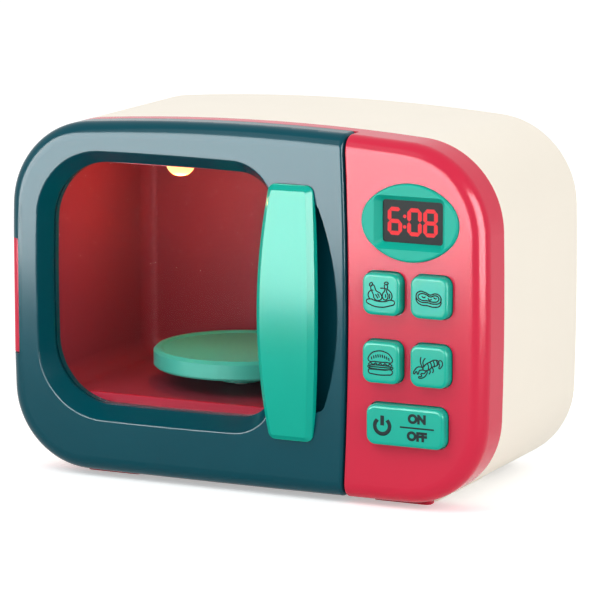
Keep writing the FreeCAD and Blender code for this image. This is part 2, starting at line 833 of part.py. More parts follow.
cover_box = (hinge_x + 4.5, cover_right, 6, s.height - 8)
cover_crowns, cover_corners = (1, 1, 0.6, 4.5), (36, 4, 4, 38)
front_cut(door, "cover_seat", cover_front, s.door_depth, soft_rect, cover_box, cover_crowns,
          cover_corners)
front_cut(door, "door_screw_holes", cover_front - 8, cover_front, rings, door_screw_spots,
          s.screw_radius)

# Door back: closes the door from behind, traps the pane and carries the latch tongue
back = piece("door_back")
front_block(back, "back_plate", cover_front, s.door_depth, soft_rect, cover_box, cover_crowns,
            cover_corners, s.cover_gap)
front_block(back, "pane_rib", pane_back, cover_front + 0.5, soft_rect, window_box, window_crowns,
            window_corners, s.cover_gap - s.pane_margin)
front_cut(back, "back_window", pane_back, s.door_depth, soft_rect, window_box, window_crowns,
          window_corners)
front_cut(back, "back_screw_holes", cover_front, s.door_depth, rings, door_screw_spots,
          s.screw_radius + s.screw_slack)
head_seat = s.door_depth - s.screw_head_high - 0.1
front_cut(back, "back_head_seats", head_seat, s.door_depth, rings, door_screw_spots,
          s.screw_head + s.screw_slack)
front_block(back, "latch_tongue", s.door_depth - 1, plate_back - 0.3, rect, latch_left, latch_right,
            middle - s.latch_tall / 2, middle + s.latch_tall / 2)

# Window pane
pane = piece("window_pane")
front_block(pane, "pane", land_back, pane_back, soft_rect, window_box, window_crowns,
            window_corners, s.cover_gap - s.pane_margin)

# Handle: barrel-shaped bar, arched over the finger pocket
handle = piece("handle")
swell = (s.handle_mid_wide - s.handle_end_wide) / 2
front_block(handle, "handle_bar", -s.handle_reach, 0, path, [
    (handle_x - end_half, s.handle_low), (handle_x + end_half, s.handle_low, swell),
    (handle_x + end_half, handle_high), (handle_x - end_half, handle_high, swell)])
arch = s.handle_reach - s.handle_end_rise
side_cut(handle, "handle_face", handle_x - s.handle_mid_wide, handle_x + s.handle_mid_wide,
         path, [(-s.handle_end_rise, handle_high + 1), (-s.handle_reach - 5, handle_high + 1),
                (-s.handle_reach - 5, s.handle_low - 1), (-s.handle_end_rise, s.handle_low - 1),
                (-s.handle_end_rise, s.handle_low, -arch), (-s.handle_end_rise, handle_high)])
under = s.handle_reach - s.handle_bar
side_cut(handle, "handle_arch", handle_x - s.handle_mid_wide, handle_x + s.handle_mid_wide,
         path, [(1, s.handle_low + s.handle_foot), (1, handle_high - s.handle_foot),
                (0, handle_high - s.handle_foot, under), (0, s.handle_low + s.handle_foot)])
soften(handle, "handle_corners", handle.Tip, s.handle_corner, lambda e: (
    e.BoundBox.XLength < 0.01 and e.BoundBox.ZLength < 0.01
    and e.BoundBox.YLength > s.handle_end_rise.value - 0.1))
soften(handle, "handle_bevel", handle.Tip, s.handle_bevel, lambda e: (
    e.BoundBox.YMax < -s.handle_end_rise.value + 0.01
    and e.BoundBox.YMin < -s.handle_end_rise.value + 0.01
    and (e.BoundBox.YMin < -s.handle_reach.value + 0.5 or e.BoundBox.ZLength < 4)), "Chamfer", "Size")
front_block(handle, "handle_roots", -1, s.seat_depth, handle_ends)
front_cut(handle, "handle_screw_bores", -s.handle_bite - 0.3, s.seat_depth, rings,
          handle_screw_spots, s.screw_radius)


def screw(label, length, shank_to_rear):
    """A pan-head screw along Y with the underside of its head at depth 0."""
    body = new_body(label)
    rise, out = s.screw_head_high, s.screw_head
    if shank_to_rear:
        outline = [(0, -rise), (out, -rise), (out, 0), (s.screw_radius, 0),
                   (s.screw_radius, length), (0, length)]
    else:
        outline = [(0, -as_size(length)), (s.screw_radius, -as_size(length)),
                   (s.screw_radius, 0), (out, 0), (out, rise), (0, rise)]
    turned(body, label + "_turned", "Y", (0, 0, 0), outline)
    return body


handle_screw = screw("handle_screw", s.wall + s.handle_bite, False)
group("handle_screws", handle_screw, [(x, s.wall, z) for x, z in handle_screw_spots])
door_screw = screw("door_screw", head_seat - cover_front + 7, False)
group("door_screws", door_screw, [(x, head_seat, z) for x, z in door_screw_spots])

# Display: oval bezel, dark window behind it and the number display on the board
bezel = piece("display_bezel")
lens_front = s.display_funnel + 0.6
lens_back = lens_front + 1.5
front_block(bezel, "bezel_face", -s.bezel_proud, s.wall, oval, s.display_x, s.display_z,
            s.bezel_half_wide, s.bezel_half_tall, s.bezel_end_radius)
soften(bezel, "bezel_round", bezel.Tip, 1.2, at_depth(-s.bezel_proud))
front_block(bezel, "bezel_flange", s.wall, lens_back, oval, s.display_x, s.display_z,
            s.bezel_half_wide + 1.8, s.bezel_half_tall + 1.8, s.bezel_end_radius + 1.8)


def display_rect(sketch, margin, corner):
    """A rounded rectangle around the display."""
    wide, tall = s.display_wide / 2 + margin, s.display_tall / 2 + margin
    round_rect(sketch, s.display_x - wide, s.display_x + wide, s.display_z - tall,
               s.display_z + tall, corner)


loft(bezel, "SubtractiveLoft", "bezel_funnel", -s.bezel_proud, s.display_funnel,
     (display_rect, 2.6, 3.0), (display_rect, 0, 1.6))
front_cut(bezel, "bezel_window", s.display_funnel, lens_back, display_rect, 0, 1.6)
front_cut(bezel, "lens_seat", lens_front, lens_back, display_rect, 1.7, 1.6)

lens = piece("display_window")
front_block(lens, "lens", lens_front, lens_back, display_rect, 1.5, 1.4)

module = piece("display_module")
front_block(module, "module", lens_back, s.board_back, display_rect, 0.5, 1)

# Buttons: cap, retaining flange behind the panel and stem to the keypad dome
flange_front = s.wall + 0.2
flange_back = flange_front + 1.5
mat_front = s.board_back - s.keypad_sheet
stem_end = mat_front - s.button_travel - s.dome_crown
for label, (x, z, wide, tall) in button_spots.items():
    button = piece(label)
    front_block(button, label + "_cap", -s.button_proud, flange_back, round_rect, x - wide / 2,
                x + wide / 2, z - tall / 2, z + tall / 2, s.button_corner)
    soften(button, label + "_bevel", button.Tip, s.button_bevel, at_depth(-s.button_proud))
    front_block(button, label + "_flange", flange_front, flange_back, round_rect,
                x - wide / 2 - s.button_flange, x + wide / 2 + s.button_flange,
                z - tall / 2 - s.button_flange, z + tall / 2 + s.button_flange, s.button_corner)
    front_block(button, label + "_stem", flange_back, stem_end, ring, x, z, 3)

# Keypad mat and circuit board
keypad = piece("keypad_mat")
front_block(keypad, "mat", mat_front, s.board_back, round_rect,
            s.button_left_x - s.button_wide / 2 + 1, s.button_right_x + s.button_wide / 2 + 0.8,
            start_low - 1.2, s.button_high_z + s.button_tall / 2 - 0.3, 3)
for label, (x, z, wide, tall) in button_spots.items():
    turned(keypad, label + "_dome", "Y", (x, 0, z), [
        (0, stem_end + 0.2), (3.4, stem_end + 0.2), (5.4, mat_front + 0.4), (0, mat_front + 0.4)])

board = piece("circuit_board")
board_rear = s.board_back + s.board_thick
front_block(board, "board", s.board_back, board_rear, round_rect, board_left, board_right,
            board_low, board_high, (2, 20, 24, 2))
front_cut(board, "board_screw_holes", s.board_back, board_rear, rings, board_screw_spots,
          s.screw_radius + s.screw_slack)
board_screw = screw("board_screw", s.board_thick + 6, False)
group("board_screws", board_screw, [(x, board_rear, z) for x, z in board_screw_spots])

# Oven chamber
liner = piece("cavity_liner")
liner_back = cavity_rear + s.liner_wall
front_block(liner, "liner_flange", plate_back, plate_back + s.liner_wall, round_rect,
            cavity_left - s.liner_flange, cavity_right + s.liner_flange,
            s.cavity_floor - s.liner_flange, cavity_roof + s.liner_flange, s.cavity_corner + 2)
front_block(liner, "liner_tub", plate_back, liner_back, round_rect,
            cavity_left - s.liner_wall, cavity_right + s.liner_wall,
            s.cavity_floor - s.liner_wall, cavity_roof + s.liner_wall,
            s.cavity_corner + s.liner_wall)
front_cut(liner, "chamber", plate_back, cavity_rear, round_rect, *opening, s.cavity_corner)
soften(liner, "chamber_rear", liner.Tip, s.cavity_fillet, at_depth(cavity_rear))
floor_under = s.cavity_floor - s.liner_wall
roof_over = cavity_roof + s.liner_wall
plan_cut(liner, "spindle_hole", floor_under - 1, s.cavity_floor + 1, ring, spindle_x,
         spindle_y, s.spindle_radius + 1.5)
plan_cut(liner, "lamp_hole", cavity_roof - 1, roof_over + 1, ring, lamp_x, lamp_y,
         s.lamp_radius + 0.2)

# Turntable drive: places
idler_x = spindle_x + s.gear_module * (s.output_teeth + s.pinion_teeth) / 2
motor_x = idler_x + s.gear_module * (s.idler_teeth + s.pinion_teeth) / 2
tray_top = s.gearbox_floor + s.gearbox_wall
lid_under = s.gearbox_floor + s.gearbox_high
lid_over = lid_under + s.gearbox_wall
low_layer = tray_top + 4.5
high_layer = tray_top + s.motor_high + 0.8
wheel_high = high_layer + 4
output_tip = s.gear_module * (s.output_teeth + 2) / 2
box_left = spindle_x - output_tip - s.gearbox_wall - 1
box_right = motor_x + s.motor_radius + s.gearbox_wall + 1.5
box_near = spindle_y - output_tip - s.gearbox_wall - 1.5
box_far = spindle_y + output_tip + s.gearbox_wall + 1.5
column = s.gearbox_wall + 2.2
column_spots = [(x, y) for x in (box_left + column, box_right - column)
                for y in (box_near + column, box_far - column)]
plan_block(liner, "gearbox_posts", lid_over, floor_under + 1, rings, column_spots, 3.5)
plan_cut(liner, "gearbox_post_holes", lid_over, floor_under + 0.5, rings, column_spots,
         s.screw_radius)

# Turntable, carried on the square end of the output gear's spindle
table = piece("turntable")
plate_under = s.plate_top - s.plate_rim
hub_low = s.cavity_floor + 1.5
plate_floor = s.plate_top - s.plate_dish
skin_under = plate_floor - s.plate_wall
skirt = plate_radius - s.plate_wall
turned(table, "table", "Z", (spindle_x, spindle_y, 0), [
    (0, hub_low), (s.hub_radius, hub_low), (s.hub_radius, skin_under), (skirt, skin_under),
    (skirt, plate_under), (plate_radius - 1, plate_under), (plate_radius, plate_under + 1),
    (plate_radius, s.plate_top - 1.6), (plate_radius - 1.6, s.plate_top),
    (plate_radius - 3.6, s.plate_top), (plate_radius - 5, plate_floor), (0, plate_floor)])
socket = s.drive_square / 2 + s.running_fit
plan_cut(table, "drive_socket", hub_low, s.plate_top - 4, rect, spindle_x - socket,
         spindle_x + socket, spindle_y - socket, spindle_y + socket)


def tooth(sketch, count, phase):
    """One gear tooth about the sketch's origin, with involute flanks drawn as arcs."""
    pressure = math.radians(25)
    module, slack = s.gear_module.value, s.tooth_slack.value
    pitch = module * count / 2
    base = pitch * math.cos(pressure)
    root, tip = pitch - 1.12 * module, pitch + 0.86 * module
    foot = max(base, root)

    def half_angle(radius):
        turn = math.acos(min(1.0, base / max(radius, base)))
        flank = (math.tan(pressure) - pressure) - (math.tan(turn) - turn)
        return math.pi / (2 * count) - slack / (2 * pitch) + flank

    def spot(radius, side):
        turn = phase + side * half_angle(radius)
        return radius * math.cos(turn), radius * math.sin(turn)

    low, high, middle = spot(foot, -1), spot(tip, -1), spot((foot + tip) / 2, -1)
    across = (high[0] - low[0], high[1] - low[1])
    span = math.hypot(*across)
    offset = ((middle[0] - low[0]) * across[1] - (middle[1] - low[1]) * across[0]) / span
    inner = root - 0.3
    flank = max(offset, 0.004)
    path(sketch, [
        spot(inner, -1), (*low, flank), high, (*spot(tip, 1), flank), spot(foot, 1),
        spot(inner, 1)])
    return root


def gear(body, name, x, y, low, high, count, phase):
    """A spur gear: a root disc, one tooth and its polar pattern."""
    teeth = int(as_size(count).value)
    sketch = sketch_on(body, name + "_tooth", "XY_Plane", (x, y, low))
    root = tooth(sketch, teeth, phase)
    plan_block(body, name + "_disc", low, high, ring, x, y, root)
    first = feature(body, "Pad", name + "_tooth", sketch, as_size(high) - low, False)
    pattern = body.newObject("PartDesign::PolarPattern", name + "_teeth")
    pattern.Originals = [first]
    pattern.Axis = (sketch, ["N_Axis"])
    pattern.Angle = 360
    pattern.Occurrences = teeth
    body.Tip = pattern


half_pitch = math.pi / SIZES["pinion_teeth"]
output = piece("output_gear")
gear(output, "output", spindle_x, spindle_y, low_layer, low_layer + s.gear_face,
     s.output_teeth, 0.0)
turned(output, "spindle", "Z", (spindle_x, spindle_y, 0), [
    (0, tray_top + 0.6), (2, tray_top + 0.6), (2, low_layer), (s.spindle_radius, low_layer),
    (s.spindle_radius, hub_low), (0, hub_low)])
drive = s.drive_square / 2
plan_block(output, "drive_end", hub_low - 0.5, s.plate_top - 4.5, rect, spindle_x - drive,
           spindle_x + drive, spindle_y - drive, spindle_y + drive)

idler = piece("idler_gear")
gear(idler, "idler_pinion", idler_x, spindle_y, low_layer - 0.2, high_layer + 0.5,
     s.pinion_teeth, half_pitch)
gear(idler, "idler_wheel", idler_x, spindle_y, high_layer, wheel_high, s.idler_teeth, 0.0)
plan_block(idler, "idler_hub", wheel_high - 0.5, lid_under - 0.4, ring, idler_x, spindle_y, 2.8)
plan_cut(idler, "idler_bore", low_layer - 1, lid_under, ring, idler_x, spindle_y,
         s.axle_radius + s.running_fit)

axle = piece("idler_axle")
plan_block(axle, "axle", s.gearbox_floor + 0.8, lid_over, ring, idler_x, spindle_y,
           s.axle_radius)

motor = piece("motor")
motor_top = tray_top + s.motor_high
plan_block(motor, "motor_can", tray_top, motor_top, ring, motor_x, spindle_y, s.motor_radius)
plan_cut(motor, "motor_bore", motor_top - 8, motor_top, ring, motor_x, spindle_y,
         s.motor_shaft + s.running_fit)
soften(motor, "motor_edge", motor.Tip, 0.8, lambda e: (
    at_height(motor_top)(e) and e.BoundBox.XLength > s.motor_radius.value))

pinion = piece("motor_pinion")
gear(pinion, "pinion", motor_x, spindle_y, high_layer - 0.4, wheel_high + 0.6,
     s.pinion_teeth, half_pitch)
plan_block(pinion, "motor_shaft", motor_top - 7.5, wheel_high + 1.6, ring, motor_x,
           spindle_y, s.motor_shaft)

tray = piece("gearbox_tray")
plan_block(tray, "tray", s.gearbox_floor, lid_under, round_rect, box_left, box_right, box_near,
           box_far, 3.5)
inner_corner = 1.6
plan_cut(tray, "tray_inside", tray_top, lid_under, round_rect, box_left + s.gearbox_wall,
         box_right - s.gearbox_wall, box_near + s.gearbox_wall, box_far - s.gearbox_wall,
         inner_corner)
plan_block(tray, "tray_columns", tray_top - 0.5, lid_under, rings, column_spots, 3.2)
plan_cut(tray, "tray_screw_holes", s.gearbox_floor, lid_under, rings, column_spots,
         s.screw_radius + s.screw_slack)
plan_cut(tray, "tray_head_seats", s.gearbox_floor, s.gearbox_floor + s.screw_head_high, rings,
         column_spots, s.screw_head + s.screw_slack)
plan_block(tray, "gear_seats", tray_top - 0.5, low_layer - 0.4, rings,
           [(spindle_x, spindle_y), (idler_x, spindle_y)], 3.6)
plan_cut(tray, "spindle_seat", tray_top, low_layer, ring, spindle_x, spindle_y,
         2 + s.running_fit)
plan_cut(tray, "axle_seat", s.gearbox_floor + 0.8, low_layer, ring, idler_x, spindle_y,
         s.axle_radius)

lid = piece("gearbox_lid")
plan_block(lid, "lid", lid_under, lid_over, round_rect, box_left, box_right, box_near, box_far,
           3.5)
plan_cut(lid, "lid_screw_holes", lid_under, lid_over, rings, column_spots,
         s.screw_radius + s.screw_slack)
plan_cut(lid, "lid_spindle_hole", lid_under, lid_over, ring, spindle_x, spindle_y,
         s.spindle_radius + s.running_fit)
plan_cut(lid, "lid_axle_hole", lid_under, lid_over, ring, idler_x, spindle_y, s.axle_radius)

long_screw = new_body("gearbox_screw")
head_top = s.gearbox_floor + s.screw_head_high
turned(long_screw, "gearbox_screw_turned", "Z", (0, 0, 0), [
    (0, s.gearbox_floor), (s.screw_head, s.gearbox_floor), (s.screw_head, head_top),
    (s.screw_radius, head_top), (s.screw_radius, floor_under), (0, floor_under)])
group("gearbox_screws", long_screw, [(x, y, 0) for x, y in column_spots])

# Lamp in the chamber's ceiling
lamp_low = cavity_roof - s.lamp_drop
lens_flange = roof_over + 1.5
lamp_lens = piece("lamp_lens")
turned(lamp_lens, "lamp_dome", "Z", (lamp_x, lamp_y, 0), [
    (0, lamp_low, 1.6), (s.lamp_radius, lamp_low + 5), (s.lamp_radius, roof_over),
    (s.lamp_radius + 3, roof_over), (s.lamp_radius + 3, lens_flange),
    (s.lamp_radius - 1.4, lens_flange), (s.lamp_radius - 1.4, lamp_low + 6, -1.2),
    (0, lamp_low + 1.4)])
led = piece("lamp_led")
turned(led, "led", "Z", (lamp_x, lamp_y, 0), [
    (0, lens_flange - 8, 0.9), (2.5, lens_flange - 6), (2.5, lens_flange - 1),
    (2.9, lens_flange - 1), (2.9, lens_flange), (0, lens_flange)])
lamp_board = piece("lamp_board")
plan_block(lamp_board, "lamp_disc", lens_flange, lens_flange + s.board_thick, ring, lamp_x,
           lamp_y, s.lamp_radius + 3)

# Rear shell: tub with foot rails, screw towers, speaker grille and battery bay
shell = piece("rear_shell")
front_block(shell, "shell_block", s.frame_depth, s.depth, cushion)
soften(shell, "shell_round", shell.Tip, s.rear_round, at_depth(s.depth))
inner_step = s.depth - s.rear_round
front_cut(shell, "shell_inside", s.frame_depth, inner_step, cushion, s.wall)
front_cut(shell, "shell_rear_inside", inner_step, rear_inside, cushion, s.rear_round - s.wall)
plan_block(shell, "foot_rails", -s.foot_rise, 2, feet, s.frame_depth, s.depth - s.foot_rear)
tower = s.boss_radius + 0.8
front_block(shell, "screw_towers", s.boss_end, rear_inside + 1, rings, boss_spots, tower)
tower_floor = s.boss_end + 3
front_cut(shell, "tower_holes", s.boss_end - 1, s.depth + 1, rings, boss_spots,
          s.screw_radius + s.screw_slack)
front_cut(shell, "tower_bores", tower_floor, s.depth + 1, rings, boss_spots, s.screw_head + 0.5)
for k, x in enumerate((spindle_x - 40, spindle_x + 40)):
    front_block(shell, f"liner_rib_{k}", liner_back, rear_inside + 1, rect, x - 1, x + 1,
                s.cavity_floor + 23.5, cavity_roof - 20)


def grille(sketch):
    """Sound holes: one in the middle and two rings of holes."""
    ring(sketch, s.speaker_x, s.speaker_z, 1.3)
    for out, count in ((5.5, 6), (11, 12)):
        for k in range(count):
            turn = 2 * math.pi * k / count
            ring(sketch, s.speaker_x + out * math.cos(turn), s.speaker_z + out * math.sin(turn), 1.3)


front_cut(shell, "sound_holes", rear_inside - 1, s.depth, grille)
speaker_screw_spots = [(s.speaker_x + side * (s.speaker_radius + 2.2), s.speaker_z)
                       for side in (-1, 1)]
speaker_front = rear_inside - 2
front_block(shell, "speaker_bosses", speaker_front, rear_inside + 1, rings, speaker_screw_spots, 2.1)
front_cut(shell, "speaker_screw_holes", speaker_front, s.depth - 1, rings, speaker_screw_spots,
          s.screw_radius)

bay_half = (s.cell_long + s.contact_room) / 2
bay_tall = s.cell_pitch * 1.5 + 0.5
bay_open = s.depth - s.cover_thick
bay_floor = bay_open - 2 * s.cell_radius - 0.4
bay_left, bay_right = s.bay_x - bay_half, s.bay_x + bay_half
bay_low, bay_high = s.bay_z - bay_tall, s.bay_z + bay_tall
cover_top = bay_high + 10
cover_screw_z = bay_high + 6
land = s.cover_land
front_block(shell, "bay_walls", bay_floor - land, rear_inside + 1, rect, bay_left - land,
            bay_right + land, bay_low - land, bay_high + land)
front_block(shell, "cover_step", rear_inside - 2.5, rear_inside + 1, rect, bay_left - land,
            bay_right + land, bay_high, cover_top)
front_block(shell, "cover_boss", bay_open - 9, rear_inside + 1, ring, s.bay_x, cover_screw_z, 3.2)
front_cut(shell, "bay_inside", bay_floor, s.depth, rect, bay_left, bay_right, bay_low, bay_high)
front_cut(shell, "cover_rebate", bay_open, s.depth, round_rect, bay_left - land,
          bay_right + land, bay_low - land, cover_top, 3)
front_cut(shell, "cover_screw_hole", bay_open - 7, bay_open, ring, s.bay_x, cover_screw_z,
          s.screw_radius)

# Speaker
speaker = piece("speaker")
turned(speaker, "speaker_turned", "Y", (s.speaker_x, 0, s.speaker_z), [
    (0, rear_inside - 13), (9, rear_inside - 13), (9, rear_inside - 8),
    (s.speaker_radius - 4, speaker_front - 1), (s.speaker_radius - 1, speaker_front),
    (s.speaker_radius, speaker_front),
    (s.speaker_radius, rear_inside), (0, rear_inside)])
speaker_screw = screw("speaker_screw", 3, True)
group("speaker_screws", speaker_screw, [(x, speaker_front, z) for x, z in speaker_screw_spots])

# Power: cells, contacts and the screwed cover
cell_y = bay_open - s.cell_radius - 0.1
cell_spots = [(0, cell_y, s.bay_z + k * s.cell_pitch) for k in (-1, 0, 1)]
contact_thick = 0.5
cell_end = bay_right - contact_thick
cell_start = cell_end - s.cell_long
cell = new_body("battery_cell")
side_block(cell, "cell_can", cell_start, cell_end - 1.2, ring, 0, 0, s.cell_radius)
side_block(cell, "cell_button", cell_end - 1.2, cell_end, ring, 0, 0, 2.6)
group("battery_cells", cell, cell_spots)

contact = new_body("contact_plate")
side_block(contact, "contact_left", bay_left, bay_left + contact_thick, rect, -5, 5, -5.5, 5.5)
side_block(contact, "contact_right", cell_end, bay_right, rect, -5, 5, -5.5, 5.5)
group("contact_plates", contact, cell_spots)

coil = new_body("contact_spring")
spring_wire = 0.45
spring_low = bay_left + contact_thick + spring_wire
wire = sketch_on(coil, "coil_wire", "XZ_Plane", (spring_low, 0, 0))
ring(wire, 0, 4, spring_wire)
helix = coil.newObject("PartDesign::AdditiveHelix", "coil")
helix.Profile = wire
helix.ReferenceAxis = (wire, ["H_Axis"])
helix.Mode = 0
spring_high = cell_start - spring_low - spring_wire
bind(helix, "Height", spring_high)
bind(helix, "Pitch", spring_high / 3)
group("contact_springs", coil, cell_spots)

cover = piece("battery_cover")
gap = s.cover_gap
front_block(cover, "cover", bay_open, s.depth, round_rect, bay_left - land + gap,
            bay_right + land - gap, bay_low - land + gap, cover_top - gap, 3 - gap)
cover_seat = s.depth - s.screw_head_high - 0.1
front_cut(cover, "cover_hole", bay_open, s.depth, ring, s.bay_x, cover_screw_z,
          s.screw_radius + s.screw_slack)
front_cut(cover, "cover_head_seat", cover_seat, s.depth, ring, s.bay_x, cover_screw_z,
          s.screw_head + s.screw_slack)
cover_screw = screw("cover_fastener", cover_seat - bay_open + 6, False)
group("cover_screw", cover_screw, [(s.bay_x, cover_seat, cover_screw_z)])

# Screws that join the rear shell to the front frame
housing_screw = screw("housing_screw", tower_floor - s.boss_end + 12, False)
group("housing_screws", housing_screw, [(x, tower_floor, z) for x, z in boss_spots])

doc.recompute()
failed = [o.Name for o in doc.Objects if "Invalid" in o.State or "Error" in o.State]
if failed:
    raise RuntimeError("not built: " + ", ".join(failed))
for made in doc.Objects:
    if made.isDerivedFrom("PartDesign::Feature") and not made.Shape.Solids:
        failed.append(made.Name)
    if made.TypeId == "PartDesign::Pocket":
        if made.Shape.Volume > made.BaseFeature.Shape.Volume - 0.01:
            failed.append(made.Name)
for node in BODIES:
    if node.Shape.isNull() or not node.Shape.isValid():
        failed.append(node.Label)
if failed:
    raise RuntimeError("not built: " + ", ".join(failed))

os.makedirs("parts", exist_ok=True)
for node in BODIES:
    node.Shape.exportStep(f"parts/{node.Label}.step")
    print(node.Label, len(node.Shape.Solids), round(node.Shape.Volume / 1000, 2))
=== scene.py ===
"""Toy microwave: moulded finishes, printed signs, lit numbers, fasteners and a plain studio stage."""
import math

import bmesh
import bpy
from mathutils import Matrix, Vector


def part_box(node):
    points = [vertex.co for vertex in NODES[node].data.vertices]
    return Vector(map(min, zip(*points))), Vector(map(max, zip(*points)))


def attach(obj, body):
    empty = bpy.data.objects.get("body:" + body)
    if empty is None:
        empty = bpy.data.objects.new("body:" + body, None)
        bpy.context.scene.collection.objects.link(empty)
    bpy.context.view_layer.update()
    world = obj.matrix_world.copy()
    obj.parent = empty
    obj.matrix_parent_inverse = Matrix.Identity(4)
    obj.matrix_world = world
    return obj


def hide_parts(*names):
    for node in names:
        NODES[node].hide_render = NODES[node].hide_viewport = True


bl_info = {
    "name": "Toy Microwave",
    "version": (1, 0, 0),
    "blender": (4, 5, 0),
    "location": "3D View > Sidebar > Toy Microwave",
    "description": "Dresses the toy microwave: finishes, printed signs, lit numbers, screws and stage",
    "category": "Object",
}

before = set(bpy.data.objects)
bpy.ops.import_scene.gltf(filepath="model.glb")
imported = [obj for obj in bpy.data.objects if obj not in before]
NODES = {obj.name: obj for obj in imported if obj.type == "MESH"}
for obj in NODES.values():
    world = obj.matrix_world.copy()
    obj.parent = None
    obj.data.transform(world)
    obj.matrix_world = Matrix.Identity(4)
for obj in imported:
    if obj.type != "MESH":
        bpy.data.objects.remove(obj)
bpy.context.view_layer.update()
MM = 0.001


def linear(code):
    """Linear colour of an sRGB hex code."""
    shares = [int(code[k:k + 2], 16) / 255 for k in (1, 3, 5)]
    return tuple(v / 12.92 if v <= 0.04045 else ((v + 0.055) / 1.055) ** 2.4 for v in shares)


def colour(label, about, code):
    """A colour that a user can change."""
    return bpy.props.FloatVectorProperty(
        name=label, description=about, subtype="COLOR", size=3, min=0.0, max=1.0, default=linear(code))


def length(label, about, millimetres):
    """A length that a user can change."""
    return bpy.props.FloatProperty(
        name=label, description=about, subtype="DISTANCE", unit="LENGTH", min=0.0, precision=5,
        default=millimetres * MM)


class ToyMicrowaveFinish(bpy.types.PropertyGroup):
    """Colours of the moulded pieces."""

    red: colour("Panel red", "Front frame and control panel", "#d62c48")
    # The chamber red is the panel red darkened: painted shade of the inside of the chamber.
    chamber: colour("Chamber red", "Box of the oven chamber", "#9a3040")
    cream: colour("Shell cream", "Rear shell and battery cover", "#f8f0e1")
    teal: colour("Door teal", "Door and its rear cover", "#004a57")
    mint: colour("Mint", "Handle, buttons and bezel", "#06b29c")
    plate: colour("Turntable mint", "Turntable", "#4fd0ba")
    glow: colour("Lamp glow", "Light of the chamber lamp", "#ffbd78")
    digits: colour("Lit numbers", "Segments of the number display", "#d0121f")
    ink: colour("Sign ink", "Printed signs on the buttons", "#03181a")


class ToyMicrowaveSigns(bpy.types.PropertyGroup):
    """Sizes of the printed signs and the lit numbers."""

    picture: length("Picture half width", "Half the width of a picture on a button", 7.3)
    line: length("Line width", "Printed line of a picture", 0.62)
    ink_rise: length("Ink thickness", "Thickness of the printed ink", 0.12)
    digit_high: length("Digit height", "Height of a lit number", 11.2)
    digit_wide: length("Digit width", "Width of a lit number", 5.4)
    segment: length("Segment width", "Width of one lit segment", 1.9)


class ToyMicrowaveStage(bpy.types.PropertyGroup):
    """Powers of the lamps."""

    key: bpy.props.FloatProperty(
        name="Key light", description="Power of the large lamp", unit="POWER", default=7.6, min=0.0)
    fill: bpy.props.FloatProperty(
        name="Fill light", description="Power of the lamp on the right", unit="POWER", default=4.6, min=0.0)
    lamp: bpy.props.FloatProperty(
        name="Chamber lamp", description="Power of the lamp in the chamber", unit="POWER",
        default=0.1, min=0.0)


def add(tree, kind, sockets=None, **settings):
    """One node of a tree, with its settings and with a value or a link for each named socket."""
    node = tree.nodes.new(kind)
    for key, value in settings.items():
        setattr(node, key, value)
    for key, value in (sockets or {}).items():
        if isinstance(value, bpy.types.NodeSocket):
            tree.links.new(value, node.inputs[key])
        else:
            node.inputs[key].default_value = value
    return node


def new_material(name):
    """An empty material, its tree and its output node."""
    material = bpy.data.materials.new(name)
    material.use_nodes = True
    material.node_tree.nodes.clear()
    return material, material.node_tree, add(material.node_tree, "ShaderNodeOutputMaterial")


# Marks on moulded plastic. The grain is drawn coarser than it is, so that it shows.
FLOW_MARKS = 38 * MM
MOULD_GRAIN = 0.9 * MM


def moulded(name, tint, rough, mottle=0.05, specular=0.1):
    """Moulded plastic: an even colour with faint flow marks, and a fine spark-eroded grain that softens
    the gloss."""
    material, tree, out = new_material(name)
    place = add(tree, "ShaderNodeTexCoord").outputs["Object"]
    flow = add(tree, "ShaderNodeTexNoise", {
        "Vector": place, "Scale": 1 / FLOW_MARKS, "Detail": 3.0, "Roughness": 0.55, "Distortion": 0.6})
    tone = add(tree, "ShaderNodeMix", {
        "Factor": flow.outputs["Fac"],
        "A": (*(v * (1 - mottle) for v in tint), 1.0),
        "B": (*(min(1.0, v * (1 + mottle)) for v in tint), 1.0)}, data_type="RGBA")
    grain = add(tree, "ShaderNodeTexNoise", {
        "Vector": place, "Scale": 1 / MOULD_GRAIN, "Detail": 2.0, "Roughness": 0.6})
    gloss = add(tree, "ShaderNodeMapRange", {
        "Value": grain.outputs["Fac"], "From Min": 0.3, "From Max": 0.7,
        "To Min": rough - 0.03, "To Max": rough + 0.03})
    bump = add(tree, "ShaderNodeBump", {
        "Height": grain.outputs["Fac"], "Strength": 0.05, "Distance": 0.008 * MM})
    shader = add(tree, "ShaderNodeBsdfPrincipled", {
        "Base Color": tone.outputs["Result"], "Roughness": gloss.outputs["Result"],
        "Normal": bump.outputs["Normal"], "Specular IOR Level": specular, "IOR": 1.53})
    tree.links.new(shader.outputs["BSDF"], out.inputs["Surface"])
    return material


def clear_sheet(name, tint, alpha, rough):
    """Polished clear sheet: mirrors a little, and what lies behind shows through."""
    material, tree, out = new_material(name)
    place = add(tree, "ShaderNodeTexCoord").outputs["Object"]
    # wipe marks about 25 mm apart
    haze = add(tree, "ShaderNodeTexNoise", {"Vector": place, "Scale": 1 / (25 * MM), "Detail": 4.0})
    gloss = add(tree, "ShaderNodeMapRange", {
        "Value": haze.outputs["Fac"], "To Min": rough * 0.6, "To Max": rough * 1.6})
    shader = add(tree, "ShaderNodeBsdfPrincipled", {
        "Base Color": (*tint, 1.0), "Roughness": gloss.outputs["Result"], "Alpha": alpha, "IOR": 1.58,
        "Specular IOR Level": 0.01})
    tree.links.new(shader.outputs["BSDF"], out.inputs["Surface"])
    return material


